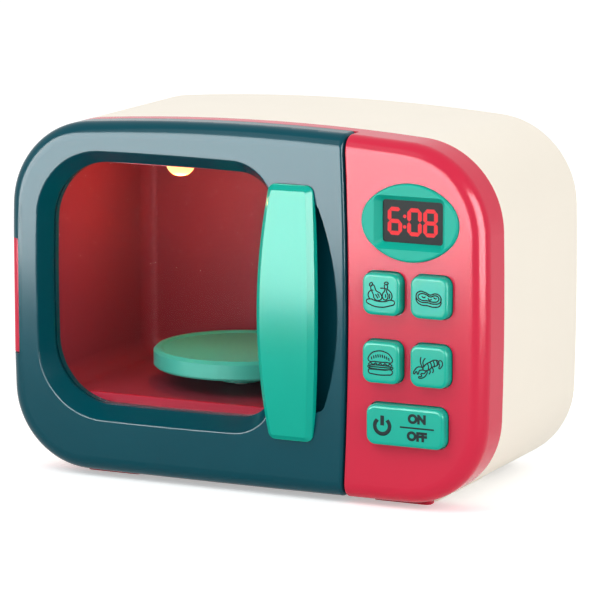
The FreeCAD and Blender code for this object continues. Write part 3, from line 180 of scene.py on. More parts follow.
def metal(name, tint, rough, streak_mm):
    """Plated or drawn metal: bright, with fine lengthwise streaks in the gloss."""
    material, tree, out = new_material(name)
    place = add(tree, "ShaderNodeTexCoord").outputs["Object"]
    turn = add(tree, "ShaderNodeMapping", {"Vector": place, "Scale": (1.0, 0.15, 1.0)})
    streak = add(tree, "ShaderNodeTexNoise", {
        "Vector": turn.outputs["Vector"], "Scale": 1 / (streak_mm * MM), "Detail": 3.0})
    gloss = add(tree, "ShaderNodeMapRange", {
        "Value": streak.outputs["Fac"], "To Min": rough * 0.7, "To Max": rough * 1.4})
    shader = add(tree, "ShaderNodeBsdfPrincipled", {
        "Base Color": (*tint, 1.0), "Metallic": 1.0, "Roughness": gloss.outputs["Result"]})
    tree.links.new(shader.outputs["BSDF"], out.inputs["Surface"])
    return material


def lit(name, tint, strength):
    """A plastic that shines by itself, faintly uneven as a diffuser is."""
    material, tree, out = new_material(name)
    place = add(tree, "ShaderNodeTexCoord").outputs["Object"]
    # frosting of about 1.5 mm
    frost = add(tree, "ShaderNodeTexNoise", {"Vector": place, "Scale": 1 / (1.5 * MM), "Detail": 2.0})
    gloss = add(tree, "ShaderNodeMapRange", {
        "Value": frost.outputs["Fac"], "To Min": 0.3, "To Max": 0.5})
    shader = add(tree, "ShaderNodeBsdfPrincipled", {
        "Base Color": (*tint, 1.0), "Roughness": gloss.outputs["Result"], "Specular IOR Level": 0.04,
        "Emission Color": (*tint, 1.0), "Emission Strength": strength})
    tree.links.new(shader.outputs["BSDF"], out.inputs["Surface"])
    return material


def laminate(name):
    """Lacquered circuit board: green mask over copper tracks 0.8 mm wide."""
    material, tree, out = new_material(name)
    place = add(tree, "ShaderNodeTexCoord").outputs["Object"]
    turn = add(tree, "ShaderNodeMapping", {"Vector": place, "Rotation": (math.radians(90), 0.0, 0.0)})
    tracks = add(tree, "ShaderNodeTexBrick", {
        "Vector": turn.outputs["Vector"], "Scale": 1.0, "Mortar Size": 0.8 * MM, "Brick Width": 9 * MM,
        "Row Height": 5 * MM, "Color1": (*linear("#0d5a2c"), 1.0), "Color2": (*linear("#0f6231"), 1.0),
        "Mortar": (*linear("#2f8a3f"), 1.0)})
    shader = add(tree, "ShaderNodeBsdfPrincipled", {
        "Base Color": tracks.outputs["Color"], "Roughness": 0.3, "Coat Weight": 0.4, "IOR": 1.5})
    tree.links.new(shader.outputs["BSDF"], out.inputs["Surface"])
    return material


def sleeve(name):
    """Plain cell sleeve: dark wrap that ends at the bare plus pole."""
    material, tree, out = new_material(name)
    low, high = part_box("battery_cells")
    place = add(tree, "ShaderNodeTexCoord").outputs["Object"]
    across = add(tree, "ShaderNodeSeparateXYZ", {"Vector": place})
    share = add(tree, "ShaderNodeMapRange", {
        "Value": across.outputs["X"], "From Min": low.x, "From Max": high.x})
    bands = add(tree, "ShaderNodeValToRGB", {"Fac": share.outputs["Result"]})
    ramp = bands.color_ramp
    ramp.interpolation = "CONSTANT"
    ramp.elements[0].color = (*linear("#1b1c1f"), 1.0)
    ramp.elements[1].position = 0.965
    ramp.elements[1].color = (*linear("#c9c9c9"), 1.0)
    shader = add(tree, "ShaderNodeBsdfPrincipled", {
        "Base Color": bands.outputs["Color"], "Roughness": 0.28, "Metallic": 0.35})
    tree.links.new(shader.outputs["BSDF"], out.inputs["Surface"])
    return material


def dress(material, *names):
    """Gives CAD pieces their finish."""
    for name in names:
        slots = NODES[name].data.materials
        slots.clear()
        slots.append(material)


def finish_material(name):
    """A finish that an earlier step made."""
    return bpy.data.materials[name]


def new_tree(name, *inputs):
    """A geometry tree with named inputs, and the outputs of its input node."""
    tree = bpy.data.node_groups.new(name, "GeometryNodeTree")
    tree.interface.new_socket("Geometry", in_out="INPUT", socket_type="NodeSocketGeometry")
    tree.interface.new_socket("Geometry", in_out="OUTPUT", socket_type="NodeSocketGeometry")
    for label, kind in inputs:
        tree.interface.new_socket(label, in_out="INPUT", socket_type=kind)
    return tree, add(tree, "NodeGroupInput").outputs


def close_tree(tree, geometry, material):
    """Ends a tree in plain geometry with its finish."""
    real = add(tree, "GeometryNodeRealizeInstances", {"Geometry": geometry})
    skin = add(tree, "GeometryNodeSetMaterial", {"Geometry": real.outputs["Geometry"], "Material": material})
    add(tree, "NodeGroupOutput", {"Geometry": skin.outputs["Geometry"]})


def shown(name, data):
    """Puts data into the scene as a new object."""
    piece = bpy.data.objects.new(name, data)
    bpy.context.scene.collection.objects.link(piece)
    return piece


def grow(name, seed_data, tree, values):
    """Runs a tree on seed data and keeps the result as a plain mesh."""
    seed = shown(name + "_seed", seed_data)
    modifier = seed.modifiers.new("Grow", "NODES")
    modifier.node_group = tree
    for item in tree.interface.items_tree:
        if item.in_out == "INPUT" and item.name in values:
            modifier[item.identifier] = values[item.name]
    bpy.context.view_layer.update()
    graph = bpy.context.evaluated_depsgraph_get()
    mesh = bpy.data.meshes.new_from_object(
        seed.evaluated_get(graph), preserve_all_data_layers=True, depsgraph=graph)
    mesh.name = name
    bpy.data.objects.remove(seed)
    return shown(name, mesh)


def print_tree():
    """Printed line along a drawn path: a low rounded ridge of ink."""
    tree, given = new_tree(
        "Printed line", ("Width", "NodeSocketFloat"), ("Thickness", "NodeSocketFloat"),
        ("Place", "NodeSocketVector"), ("Material", "NodeSocketMaterial"))
    half = add(tree, "ShaderNodeMath", {0: given["Width"], 1: 0.5}, operation="MULTIPLY")
    section = add(tree, "GeometryNodeCurvePrimitiveCircle", {
        "Resolution": 8, "Radius": half.outputs["Value"]})
    ridge = add(tree, "GeometryNodeCurveToMesh", {
        "Curve": given["Geometry"], "Profile Curve": section.outputs["Curve"], "Fill Caps": True})
    press = add(tree, "ShaderNodeMath", {0: given["Thickness"], 1: given["Width"]}, operation="DIVIDE")
    flat = add(tree, "ShaderNodeCombineXYZ", {"X": 1.0, "Y": press.outputs["Value"], "Z": 1.0})
    laid = add(tree, "GeometryNodeTransform", {
        "Geometry": ridge.outputs["Mesh"], "Translation": given["Place"], "Scale": flat.outputs["Vector"]})
    close_tree(tree, laid.outputs["Geometry"], given["Material"])
    return tree


def drawing(name, strokes, size):
    """Curve data from strokes in a unit square, seen from the front. A stroke is (closed, points)."""
    data = bpy.data.curves.new(name, "CURVE")
    data.dimensions = "3D"
    data.resolution_u = 6
    for closed, points in strokes:
        spline = data.splines.new("BEZIER")
        spline.bezier_points.add(len(points) - 1)
        spline.use_cyclic_u = closed
        for knot, (across, up) in zip(spline.bezier_points, points):
            knot.co = (across * size, 0.0, up * size)
            knot.handle_left_type = knot.handle_right_type = "AUTO"
    return data


def oval(across, up, wide, tall, turn):
    """A closed stroke round an oval that is turned by an angle."""
    points = []
    for k in range(8):
        angle = k * math.pi / 4
        x, z = wide * math.cos(angle), tall * math.sin(angle)
        points.append((across + x * math.cos(turn) - z * math.sin(turn),
                       up + x * math.sin(turn) + z * math.cos(turn)))
    return True, points


def roast_picture():
    """Roast bird on a platter, its legs up."""
    return [
        (True, [(-0.98, -0.46), (-0.7, -0.68), (-0.1, -0.8), (0.55, -0.7), (0.98, -0.44), (0.74, -0.3),
                (0.3, -0.42), (-0.3, -0.42), (-0.76, -0.32)]),
        (False, [(-0.74, -0.34), (-0.86, -0.06), (-0.72, 0.2), (-0.5, 0.26)]),
        (False, [(0.72, -0.3), (0.8, -0.02), (0.62, 0.28), (0.3, 0.42), (-0.02, 0.42)]),
        (True, [(-0.66, 0.5), (-0.52, 0.6), (-0.3, 0.24), (0.0, 0.06), (0.08, -0.22), (-0.12, -0.38),
                (-0.4, -0.3), (-0.5, -0.02)]),
        (True, [(0.3, 0.66), (0.46, 0.64), (0.42, 0.24), (0.52, -0.04), (0.4, -0.3), (0.18, -0.24),
                (0.14, 0.04), (0.3, 0.3)]),
        oval(-0.66, 0.62, 0.13, 0.09, 0.9),
        oval(0.4, 0.76, 0.13, 0.08, 0.1),
        (False, [(-0.36, 0.0), (-0.24, -0.14), (-0.2, -0.26)]),
        (False, [(-0.22, 0.06), (-0.12, -0.06), (-0.08, -0.2)]),
        (False, [(0.32, 0.06), (0.36, -0.06), (0.34, -0.16)]),
        (False, [(0.6, 0.12), (0.64, -0.06), (0.6, -0.22)]),
    ]


def steak_picture():
    """Steak with a rim of fat and a few marbling strokes."""
    return [
        (True, [(-0.86, 0.08), (-0.66, 0.4), (-0.24, 0.38), (0.1, 0.24), (0.5, 0.34), (0.84, 0.12),
                (0.78, -0.2), (0.4, -0.32), (-0.1, -0.26), (-0.56, -0.24)]),
        (True, [(-0.72, 0.08), (-0.56, 0.27), (-0.22, 0.26), (0.12, 0.12), (0.48, 0.22), (0.7, 0.08),
                (0.64, -0.11), (0.38, -0.2), (-0.1, -0.14), (-0.5, -0.12)]),
        (False, [(-0.86, 0.06), (-0.84, -0.18), (-0.54, -0.42), (-0.08, -0.46), (0.42, -0.52),
                 (0.8, -0.38), (0.84, 0.08)]),
        (False, [(-0.48, 0.12), (-0.34, 0.04), (-0.2, 0.1)]),
        (False, [(-0.06, 0.02), (0.08, -0.08), (0.22, -0.02)]),
        (False, [(0.34, 0.1), (0.46, 0.02), (0.56, 0.06)]),
    ]


def burger_picture():
    """Burger: hatched bun, salad, patty and base."""
    wave = [(-0.84 + 0.168 * k, -0.08 + (0.05 if k % 2 else -0.05)) for k in range(11)]
    hatch = []
    for k in range(9):
        x = -0.6 + 0.15 * k
        crown = 0.66 - 0.5 * x * x
        hatch.append((False, [(x - 0.03, crown - 0.1), (x, crown - 0.2), (x + 0.01, crown - 0.3)]))
    return [
        (True, [(-0.82, 0.12), (-0.72, 0.48), (-0.3, 0.74), (0.3, 0.74), (0.72, 0.48), (0.82, 0.12),
                (0.4, 0.07), (-0.4, 0.07)]),
        *hatch,
        (False, wave),
        (True, [(-0.86, -0.27), (-0.8, -0.2), (0.8, -0.2), (0.88, -0.27), (0.8, -0.35), (-0.8, -0.35)]),
        (False, [(-0.78, -0.275), (0.0, -0.275), (0.78, -0.275)]),
        (False, [(-0.82, -0.45), (-0.8, -0.66), (-0.5, -0.74), (0.5, -0.74), (0.8, -0.66), (0.82, -0.45),
                 (0.3, -0.44), (-0.3, -0.44), (-0.82, -0.45)]),
    ]


def seafood_picture():
    """Crayfish: ringed body, fan tail, two claws and feelers."""
    rings = []
    for k in range(4):
        x, z = -0.02 + 0.2 * k, 0.06 + 0.09 * k
        rings.append((False, [(x - 0.05, z + 0.2), (x + 0.04, z), (x + 0.03, z - 0.2)]))
    return [
        (True, [(-0.36, -0.16), (-0.24, 0.1), (0.1, 0.34), (0.5, 0.5), (0.72, 0.42), (0.66, 0.22),
                (0.3, 0.04), (-0.04, -0.2)]),
        *rings,
        (True, [(0.7, 0.4), (0.86, 0.5), (0.98, 0.3), (0.9, 0.08), (0.76, -0.02), (0.78, 0.2)]),
        (True, [(-0.34, -0.14), (-0.62, -0.02), (-0.9, -0.22), (-0.98, -0.5), (-0.8, -0.34), (-0.72, -0.5),
                (-0.6, -0.26)]),
        (True, [(-0.1, -0.26), (-0.14, -0.5), (-0.4, -0.72), (-0.66, -0.7), (-0.44, -0.6), (-0.5, -0.48),
                (-0.26, -0.42)]),
        (False, [(-0.36, -0.1), (-0.54, 0.3), (-0.5, 0.62)]),
        (False, [(-0.28, -0.02), (-0.36, 0.3), (-0.2, 0.58)]),
        (False, [(0.1, -0.1), (0.14, -0.3), (0.06, -0.44)]),
        (False, [(0.28, 0.02), (0.36, -0.18), (0.3, -0.34)]),
    ]


PICTURES = {
    "roast_button": roast_picture,
    "steak_button": steak_picture,
    "burger_button": burger_picture,
    "seafood_button": seafood_picture,
}

# The open ring of the power sign leaves 0.7 radians, 40 degrees, free on either side of its bar.
RING_RADIUS = 0.8
RING_ANGLES = [0.7 + 0.4886 * k for k in range(11)]
POWER_RING = [(RING_RADIUS * math.sin(angle), RING_RADIUS * math.cos(angle)) for angle in RING_ANGLES]
POWER_SIGN = [(False, POWER_RING), (False, [(0, 0.05), (0, 0.5), (0, 1.05)])]
DIVIDER = [(False, [(-1, 0), (0, 0), (1, 0)])]
# Signs on the start button: name, strokes, size, line width and offset from the middle, in mm
START_SIGNS = (
    ("power_sign", POWER_SIGN, 4.7, 1.9, (-11.2, 0, -0.3)),
    ("word_divider", DIVIDER, 8.6, 0.8, (6.4, 0, 0)),
)
# Words on the start button with their offsets, and their size, in mm. The boldness is a share of the size.
START_WORDS = (("ON", (6.4, 0, 4.1)), ("OFF", (6.4, 0, -4.1)))
WORD_TALL = 5.6
WORD_BOLD = 0.07


def front_centre(node):
    """Middle of a piece's front face."""
    low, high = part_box(node)
    return Vector(((low.x + high.x) / 2, low.y, (low.z + high.z) / 2))


class TOYMICROWAVE_OT_cabinet(bpy.types.Operator):
    """Finish the front frame, the rear shell with its cover, and the oven chamber"""

    bl_idname = "toy_microwave.cabinet"
    bl_label = "Finish the Cabinet"

    def execute(self, context):
        tints = context.scene.toy_finish
        dress(moulded("red_moulded_abs", tints.red, rough=0.18, mottle=0.03), "front_frame")
        # The chamber's darker red is painted shade of its inside.
        dress(moulded("chamber_moulded_abs", tints.chamber, rough=0.4, specular=0.03), "cavity_liner")
        dress(moulded("cream_moulded_abs", tints.cream, rough=0.36, mottle=0.015),
              "rear_shell", "battery_cover")
        return {"FINISHED"}


class TOYMICROWAVE_OT_door(bpy.types.Operator):
    """Finish the door, its clear window, its rear cover, the handle and the hinge pin"""

    bl_idname = "toy_microwave.door"
    bl_label = "Finish the Door"

    def execute(self, context):
        tints = context.scene.toy_finish
        dress(moulded("teal_moulded_abs", tints.teal, rough=0.17, mottle=0.08), "door_shell", "door_back")
        dress(moulded("mint_moulded_abs", tints.mint, rough=0.22, mottle=0.04), "handle")
        dress(clear_sheet("clear_polycarbonate", linear("#3c4a4c"), alpha=0.05, rough=0.05),
              "window_pane")
        dress(metal("drawn_steel_pin", linear("#b9bcc0"), rough=0.25, streak_mm=0.4), "hinge_pin")
        return {"FINISHED"}


class TOYMICROWAVE_OT_controls(bpy.types.Operator):
    """Finish the display, the buttons, the keypad mat and the circuit board"""

    bl_idname = "toy_microwave.controls"
    bl_label = "Finish the Controls"

    def execute(self, context):
        dress(finish_material("mint_moulded_abs"), "start_button", *PICTURES)
        dress(moulded("mint_satin_abs", context.scene.toy_finish.mint, rough=0.5, mottle=0.04, specular=0.04),
              "display_bezel")
        dress(moulded("smoked_acrylic", linear("#10191a"), rough=0.18, mottle=0.03, specular=0.02),
              "display_window")
        dress(moulded("black_display_case", linear("#15171a"), rough=0.5), "display_module")
        dress(moulded("silicone_rubber", linear("#c4c8c6"), rough=0.6, mottle=0.06), "keypad_mat")
        dress(laminate("green_laminate"), "circuit_board", "lamp_board")
        return {"FINISHED"}


class TOYMICROWAVE_OT_drive(bpy.types.Operator):
    """Finish the turntable, its gears, motor and gearbox"""

    bl_idname = "toy_microwave.drive"
    bl_label = "Finish the Turntable Drive"

    def execute(self, context):
        dress(moulded("pale_mint_abs", context.scene.toy_finish.plate, rough=0.3, mottle=0.04), "turntable")
        dress(moulded("white_acetal", linear("#e9e8e2"), rough=0.35, mottle=0.03),
              "output_gear", "idler_gear", "motor_pinion")
        dress(moulded("grey_gearbox_abs", linear("#8d9194"), rough=0.5), "gearbox_tray", "gearbox_lid")
        dress(metal("rolled_steel_can", linear("#a9adb2"), rough=0.32, streak_mm=0.8), "motor")
        dress(finish_material("drawn_steel_pin"), "idler_axle")
        return {"FINISHED"}


class TOYMICROWAVE_OT_power(bpy.types.Operator):
    """Finish the cells, their contacts and the speaker"""

    bl_idname = "toy_microwave.power"
    bl_label = "Finish Power and Sound"

    def execute(self, context):
        dress(sleeve("cell_sleeve"), "battery_cells")
        dress(metal("nickel_plated_spring_steel", linear("#c9c6bd"), rough=0.22, streak_mm=0.3),
              "contact_plates", "contact_springs")
        dress(moulded("black_paper_cone", linear("#1a1a1b"), rough=0.75, mottle=0.12), "speaker")
        return {"FINISHED"}


class TOYMICROWAVE_OT_lamp(bpy.types.Operator):
    """Finish the chamber lamp"""

    bl_idname = "toy_microwave.lamp"
    bl_label = "Finish the Lamp"

    def execute(self, context):
        glow = context.scene.toy_finish.glow
        dress(lit("frosted_lamp_lens", glow, strength=2.2), "lamp_lens")
        dress(lit("lamp_diode", glow, strength=12.0), "lamp_led")
        return {"FINISHED"}


def lettering(word, tall, place, thick, material):
    """A printed word that faces the front, as a plain mesh."""
    text = bpy.data.curves.new("word", "FONT")
    text.body = word
    text.size = tall
    text.align_x = "CENTER"
    text.align_y = "CENTER"
    text.offset = WORD_BOLD * tall
    text.extrude = thick / 2
    source = shown("word", text)
    bpy.context.view_layer.update()
    mesh = bpy.data.meshes.new_from_object(source.evaluated_get(bpy.context.evaluated_depsgraph_get()))
    bpy.data.objects.remove(source)
    for vertex in mesh.vertices:
        across, up, out = vertex.co
        vertex.co = place + Vector((across, -out, up))
    mesh.materials.clear()
    mesh.materials.append(material)
    mesh.name = "word_" + word.lower()
    return shown(mesh.name, mesh)


class TOYMICROWAVE_OT_signs(bpy.types.Operator):
    """Print the pictures on the food buttons, and the power sign and words on the start button"""

    bl_idname = "toy_microwave.signs"
    bl_label = "Print the Signs"

    def execute(self, context):
        signs = context.scene.toy_signs
        ink = moulded("printed_ink", context.scene.toy_finish.ink, rough=0.6, specular=0.04)
        tree = print_tree()
        values = {"Thickness": signs.ink_rise, "Material": ink}
        for button, picture in PICTURES.items():
            data = drawing(button + "_lines", picture(), signs.picture)
            piece = grow(button.replace("button", "picture"), data, tree,
                         {**values, "Width": signs.line, "Place": front_centre(button)})
            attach(piece, button)
        place = front_centre("start_button")
        for name, strokes, size, width, offset in START_SIGNS:
            piece = grow(name, drawing(name + "_lines", strokes, size * MM), tree,
                         {**values, "Width": width * MM, "Place": place + Vector(offset) * MM})
            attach(piece, "start_button")
        for word, offset in START_WORDS:
            piece = lettering(word, WORD_TALL * MM, place + Vector(offset) * MM, signs.ink_rise, ink)
            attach(piece, "start_button")
        return {"FINISHED"}


# Place of each segment in half widths and half heights, and whether it stands upright
SEGMENTS = {
    "top": (0, 1, 0), "middle": (0, 0, 0), "base": (0, -1, 0),
    "high_left": (-1, 0.5, 1), "high_right": (1, 0.5, 1),
    "low_left": (-1, -0.5, 1), "low_right": (1, -0.5, 1),
}
# Lit segments of each number
NUMBERS = {
    "6": ("top", "middle", "base", "high_left", "low_left", "low_right"),
    "0": ("top", "base", "high_left", "high_right", "low_left", "low_right"),
    "8": tuple(SEGMENTS),
}
# Places of the numbers and of the colon across the display, in digit widths from its middle
DIGIT_PLACES = (("6", -1.77), ("0", 0.06), ("8", 1.55))
COLON_PLACE = -0.855
# How far the colon's dots lie above and below the middle, as a share of the digit height
COLON_RISE = 0.22
# Radius of a dot, and the gap at a segment's end, as shares of the segment width
COLON_DOT = 0.45
SEGMENT_GAP = 0.06
DISPLAY_SHIFT = 0.4 * MM
SEGMENT_THICK = 0.12 * MM


def number_tree():
    """One bar of a lit number on each point, upright where the point says so."""
    tree, given = new_tree("Lit number", ("Bar", "NodeSocketObject"), ("Material", "NodeSocketMaterial"))
    bar = add(tree, "GeometryNodeObjectInfo", {"Object": given["Bar"]})
    turn = add(tree, "GeometryNodeInputNamedAttribute", {"Name": "turn"}, data_type="FLOAT")
    spin = add(tree, "ShaderNodeCombineXYZ", {"Y": turn.outputs["Attribute"]})
    bars = add(tree, "GeometryNodeInstanceOnPoints", {
        "Points": given["Geometry"], "Instance": bar.outputs["Geometry"], "Rotation": spin.outputs["Vector"]})
    close_tree(tree, bars.outputs["Instances"], given["Material"])
    return tree


def segment_bar(long, thick):
    """A flat bar with pointed ends, one segment of a lit number."""
    half = long / 2 - SEGMENT_GAP * thick
    slope = half - thick / 2
    outline = [(-half, 0), (-slope, thick / 2), (slope, thick / 2), (half, 0), (slope, -thick / 2),
               (-slope, -thick / 2)]
    shape = bmesh.new()
    front = [shape.verts.new((x, -SEGMENT_THICK / 2, z)) for x, z in outline]
    back = [shape.verts.new((x, SEGMENT_THICK / 2, z)) for x, z in outline]
    shape.faces.new(front)
    shape.faces.new(back[::-1])
    for k in range(len(outline)):
        shape.faces.new((front[k - 1], back[k - 1], back[k], front[k]))
    bmesh.ops.recalc_face_normals(shape, faces=shape.faces)
    mesh = bpy.data.meshes.new("segment_bar")
    shape.to_mesh(mesh)
    shape.free()
    return mesh


def colon_dots(place, rise, radius):
    """Two flat round dots, one above and one below a place."""
    shape = bmesh.new()
    for up in (-rise, rise):
        made = bmesh.ops.create_cone(
            shape, cap_ends=True, segments=12, radius1=radius, radius2=radius, depth=SEGMENT_THICK)
        for vertex in made["verts"]:
            x, y, z = vertex.co
            vertex.co = place + Vector((x, z, y + up))
    bmesh.ops.recalc_face_normals(shape, faces=shape.faces)
    mesh = bpy.data.meshes.new("display_colon")
    shape.to_mesh(mesh)
    shape.free()
    return mesh


def turned_points(name, points, turns):
    """A mesh of single points, each with a turn of its own."""
    mesh = bpy.data.meshes.new(name)
    mesh.from_pydata(points, [], [])
    mesh.attributes.new("turn", "FLOAT", "POINT").data.foreach_set("value", turns)
    return mesh


class TOYMICROWAVE_OT_numbers(bpy.types.Operator):
    """Light the numbers of the display"""

    bl_idname = "toy_microwave.numbers"
    bl_label = "Light the Numbers"

    def execute(self, context):
        signs = context.scene.toy_signs
        tall, wide, thick = signs.digit_high, signs.digit_wide, signs.segment
        place = front_centre("display_window") + Vector((DISPLAY_SHIFT, 0, 0))
        points, turns = [], []
        for number, start in DIGIT_PLACES:
            for name in NUMBERS[number]:
                across, up, upright = SEGMENTS[name]
                points.append(place + Vector((start * wide + across * wide / 2, 0, up * tall / 2)))
                turns.append(math.pi / 2 if upright else 0.0)
        red = lit("lit_red_segment", context.scene.toy_finish.digits, strength=0.45)
        bar = shown("segment_bar", segment_bar(tall / 2, thick))
        piece = grow("display_numbers", turned_points("number_points", points, turns), number_tree(),
                     {"Bar": bar, "Material": red})
        bpy.data.objects.remove(bar)
        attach(piece, "cabinet")
        dots = colon_dots(place + Vector((COLON_PLACE * wide, 0, 0)), COLON_RISE * tall, COLON_DOT * thick)
        dots.materials.append(red)
        piece = shown("display_colon", dots)
        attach(piece, "cabinet")
        return {"FINISHED"}


# Sizes inside a screw as shares of the named input. The thread has a turn for each millimetre.
SCREW_SHARES = (
    ("crown", "Head", 0.8), ("slot", "Head", 0.32), ("reach", "Head", 1.1),
    ("first_deep", "Rise", 1.2), ("second_deep", "Rise", 1.25),
    ("core", "Shank", 0.78), ("ridge", "Shank", 0.2),
    ("turns", "Long", 1 / (1.0 * MM)), ("threaded", "Long", 0.94),
    ("shank_middle", "Long", -0.5), ("thread_end", "Long", -0.97),
)


def screw_tree():
    """Pan-head screw with a cross recess and a thread, one on each point."""
    tree, given = new_tree(
        "Cross screw", ("Head", "NodeSocketFloat"), ("Rise", "NodeSocketFloat"), ("Shank", "NodeSocketFloat"),
        ("Long", "NodeSocketFloat"), ("Direction", "NodeSocketVector"), ("Material", "NodeSocketMaterial"))
    size = {}
    for name, source, share in SCREW_SHARES:
        product = add(tree, "ShaderNodeMath", {0: given[source], 1: share}, operation="MULTIPLY")
        size[name] = product.outputs["Value"]
    head = add(tree, "GeometryNodeMeshCone", {
        "Vertices": 28, "Radius Bottom": given["Head"], "Radius Top": size["crown"],
        "Depth": given["Rise"]}).outputs["Mesh"]
    lift = add(tree, "ShaderNodeCombineXYZ", {"Z": given["Rise"]})
    for along, across, deep in (("reach", "slot", "first_deep"), ("slot", "reach", "second_deep")):
        box = add(tree, "ShaderNodeCombineXYZ", {"X": size[along], "Y": size[across], "Z": size[deep]})
        arm = add(tree, "GeometryNodeMeshCube", {"Size": box.outputs["Vector"]})
        raised = add(tree, "GeometryNodeTransform", {
            "Geometry": arm.outputs["Mesh"], "Translation": lift.outputs["Vector"]})
        head = add(tree, "GeometryNodeMeshBoolean", {
            "Mesh 1": head, "Mesh 2": raised.outputs["Geometry"]},
            operation="DIFFERENCE", solver="EXACT").outputs["Mesh"]
    shank = add(tree, "GeometryNodeMeshCylinder", {
        "Vertices": 16, "Radius": size["core"], "Depth": given["Long"]})
    helix = add(tree, "GeometryNodeCurveSpiral", {
        "Resolution": 14, "Rotations": size["turns"], "Start Radius": size["core"],
        "End Radius": size["core"], "Height": size["threaded"]})
    ridge = add(tree, "GeometryNodeCurvePrimitiveCircle", {"Resolution": 3, "Radius": size["ridge"]})
    thread = add(tree, "GeometryNodeCurveToMesh", {
        "Curve": helix.outputs["Curve"], "Profile Curve": ridge.outputs["Curve"], "Fill Caps": True})
    whole = add(tree, "GeometryNodeJoinGeometry", {"Geometry": head})
    for mesh, down in ((shank, "shank_middle"), (thread, "thread_end")):
        drop = add(tree, "ShaderNodeCombineXYZ", {"Z": size[down]})
        sunk = add(tree, "GeometryNodeTransform", {
            "Geometry": mesh.outputs["Mesh"], "Translation": drop.outputs["Vector"]})
        tree.links.new(sunk.outputs["Geometry"], whole.inputs["Geometry"])
    spin = add(tree, "GeometryNodeInputNamedAttribute", {"Name": "turn"}, data_type="FLOAT")
    about = add(tree, "ShaderNodeCombineXYZ", {"Z": spin.outputs["Attribute"]})
    aim = add(tree, "FunctionNodeAlignRotationToVector", {"Vector": given["Direction"]}, axis="Z")
    both = add(tree, "FunctionNodeRotateRotation", {
        "Rotation": aim.outputs["Rotation"], "Rotate By": about.outputs["Vector"]}, rotation_space="LOCAL")
    screws = add(tree, "GeometryNodeInstanceOnPoints", {
        "Points": given["Geometry"], "Instance": whole.outputs["Geometry"],
        "Rotation": both.outputs["Rotation"]})
    close_tree(tree, screws.outputs["Instances"], given["Material"])
    return tree


def solid_boxes(node):
    """Lowest and highest corner of each separate solid in a CAD piece."""
    shape = bmesh.new()
    shape.from_mesh(NODES[node].data)
    bmesh.ops.remove_doubles(shape, verts=shape.verts, dist=0.001 * MM)
    left, boxes = set(shape.verts), []
    while left:
        reached, edge = set(), {left.pop()}
        while edge:
            reached |= edge
            edge = {e.other_vert(v) for v in edge for e in v.link_edges} - reached
        left -= reached
        places = [v.co for v in reached]
        boxes.append((Vector(min(p[k] for p in places) for k in range(3)),
                      Vector(max(p[k] for p in places) for k in range(3))))
    shape.free()
    return sorted(boxes, key=lambda b: tuple(round(v, 5) for v in b[0]))


# Body that each group of screws belongs to, and the way its heads face
SCREWS = {
    "housing_screws": ("cabinet", (0, 1, 0)),
    "cover_screw": ("cabinet", (0, 1, 0)),
    "board_screws": ("cabinet", (0, 1, 0)),
    "speaker_screws": ("cabinet", (0, -1, 0)),
    "gearbox_screws": ("cabinet", (0, 0, -1)),
    "door_screws": ("door", (0, 1, 0)),
    "handle_screws": ("door", (0, 1, 0)),
}
HEAD_RISE = 1.2 * MM
SHANK_RADIUS = 1.25 * MM
# Radians from the cross of one screw to the next one's
CROSS_TURN = 0.6


class TOYMICROWAVE_OT_screws(bpy.types.Operator):
    """Put a cross-headed screw in the place of each plain one"""

    bl_idname = "toy_microwave.screws"
    bl_label = "Fit the Screws"

    def execute(self, context):
        steel = metal("zinc_plated_steel", linear("#b4b8bb"), rough=0.3, streak_mm=0.5)
        tree = screw_tree()
        for name, (body, direction) in SCREWS.items():
            way = Vector(direction)
            points, turns = [], []
            for low, high in solid_boxes(name):
                size = high - low
                middle = (low + high) / 2
                span = abs(size.dot(way))
                points.append(middle + way * (span / 2 - HEAD_RISE))
                turns.append(CROSS_TURN * len(points))
            values = {"Head": sorted(size)[1] / 2, "Rise": HEAD_RISE, "Shank": SHANK_RADIUS,
                      "Long": span - HEAD_RISE, "Direction": way, "Material": steel}
            piece = grow(name + "_cross", turned_points(name + "_points", points, turns), tree, values)
            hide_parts(name)
            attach(piece, body)
        return {"FINISHED"}


# The photograph's viewpoint: degrees and millimetres
CAMERA_TARGET = (31.46 * MM, -57.5 * MM, 96.30 * MM)
CAMERA_AZIMUTH = 25.13
CAMERA_ELEVATION = 10.33
CAMERA_DISTANCE = 1875.6 * MM
CAMERA_LENS = 240.24

# Level of the surroundings as a light, and what the floor adds to its own shade to look white
SKY_LEVEL = 0.74
FLOOR_SHADE = (0.86, 0.86, 0.86, 1)
FLOOR_LIFT = 0.42
FLOOR_REACH = 12.0

# Radius of the lamp in the chamber, and how far it hangs below its lens
CHAMBER_LAMP_RADIUS = 3 * MM
CHAMBER_LAMP_DROP = 5 * MM

# Place, target and size of the two soft lamps, in metres
KEY_LAMP = ((-0.5, -1.0, 1.3), (0.0, 0.0, 0.08), (0.9, 0.9))
FILL_LAMP = ((1.4, -0.5, 0.7), (0.1, 0.0, 0.08), (0.8, 0.8))

# Lamps that only show as reflections: name, place, target, size and power, in metres and watts. The front
# one veils the upper half of the front, the side one draws the light line along the panel's rounded edge.
CARDS = (
    ("front_card", (-0.24, -0.57, 0.255), (0.0, -0.0575, 0.255), (0.9, 0.5), 50.0),
    ("side_card", (0.6, -0.2, 0.26), (0.12, -0.05, 0.26), (0.4, 0.5), 25.0),
)


def background_ray(tree):
    """One for a ray from the camera, a mirror or a clear piece, which sees the background, or else zero."""
    path = add(tree, "ShaderNodeLightPath").outputs
    seen = path["Is Camera Ray"]
    for kind in ("Is Glossy Ray", "Is Transmission Ray"):
        seen = add(tree, "ShaderNodeMath", {0: seen, 1: path[kind]}, operation="MAXIMUM").outputs["Value"]
    return seen


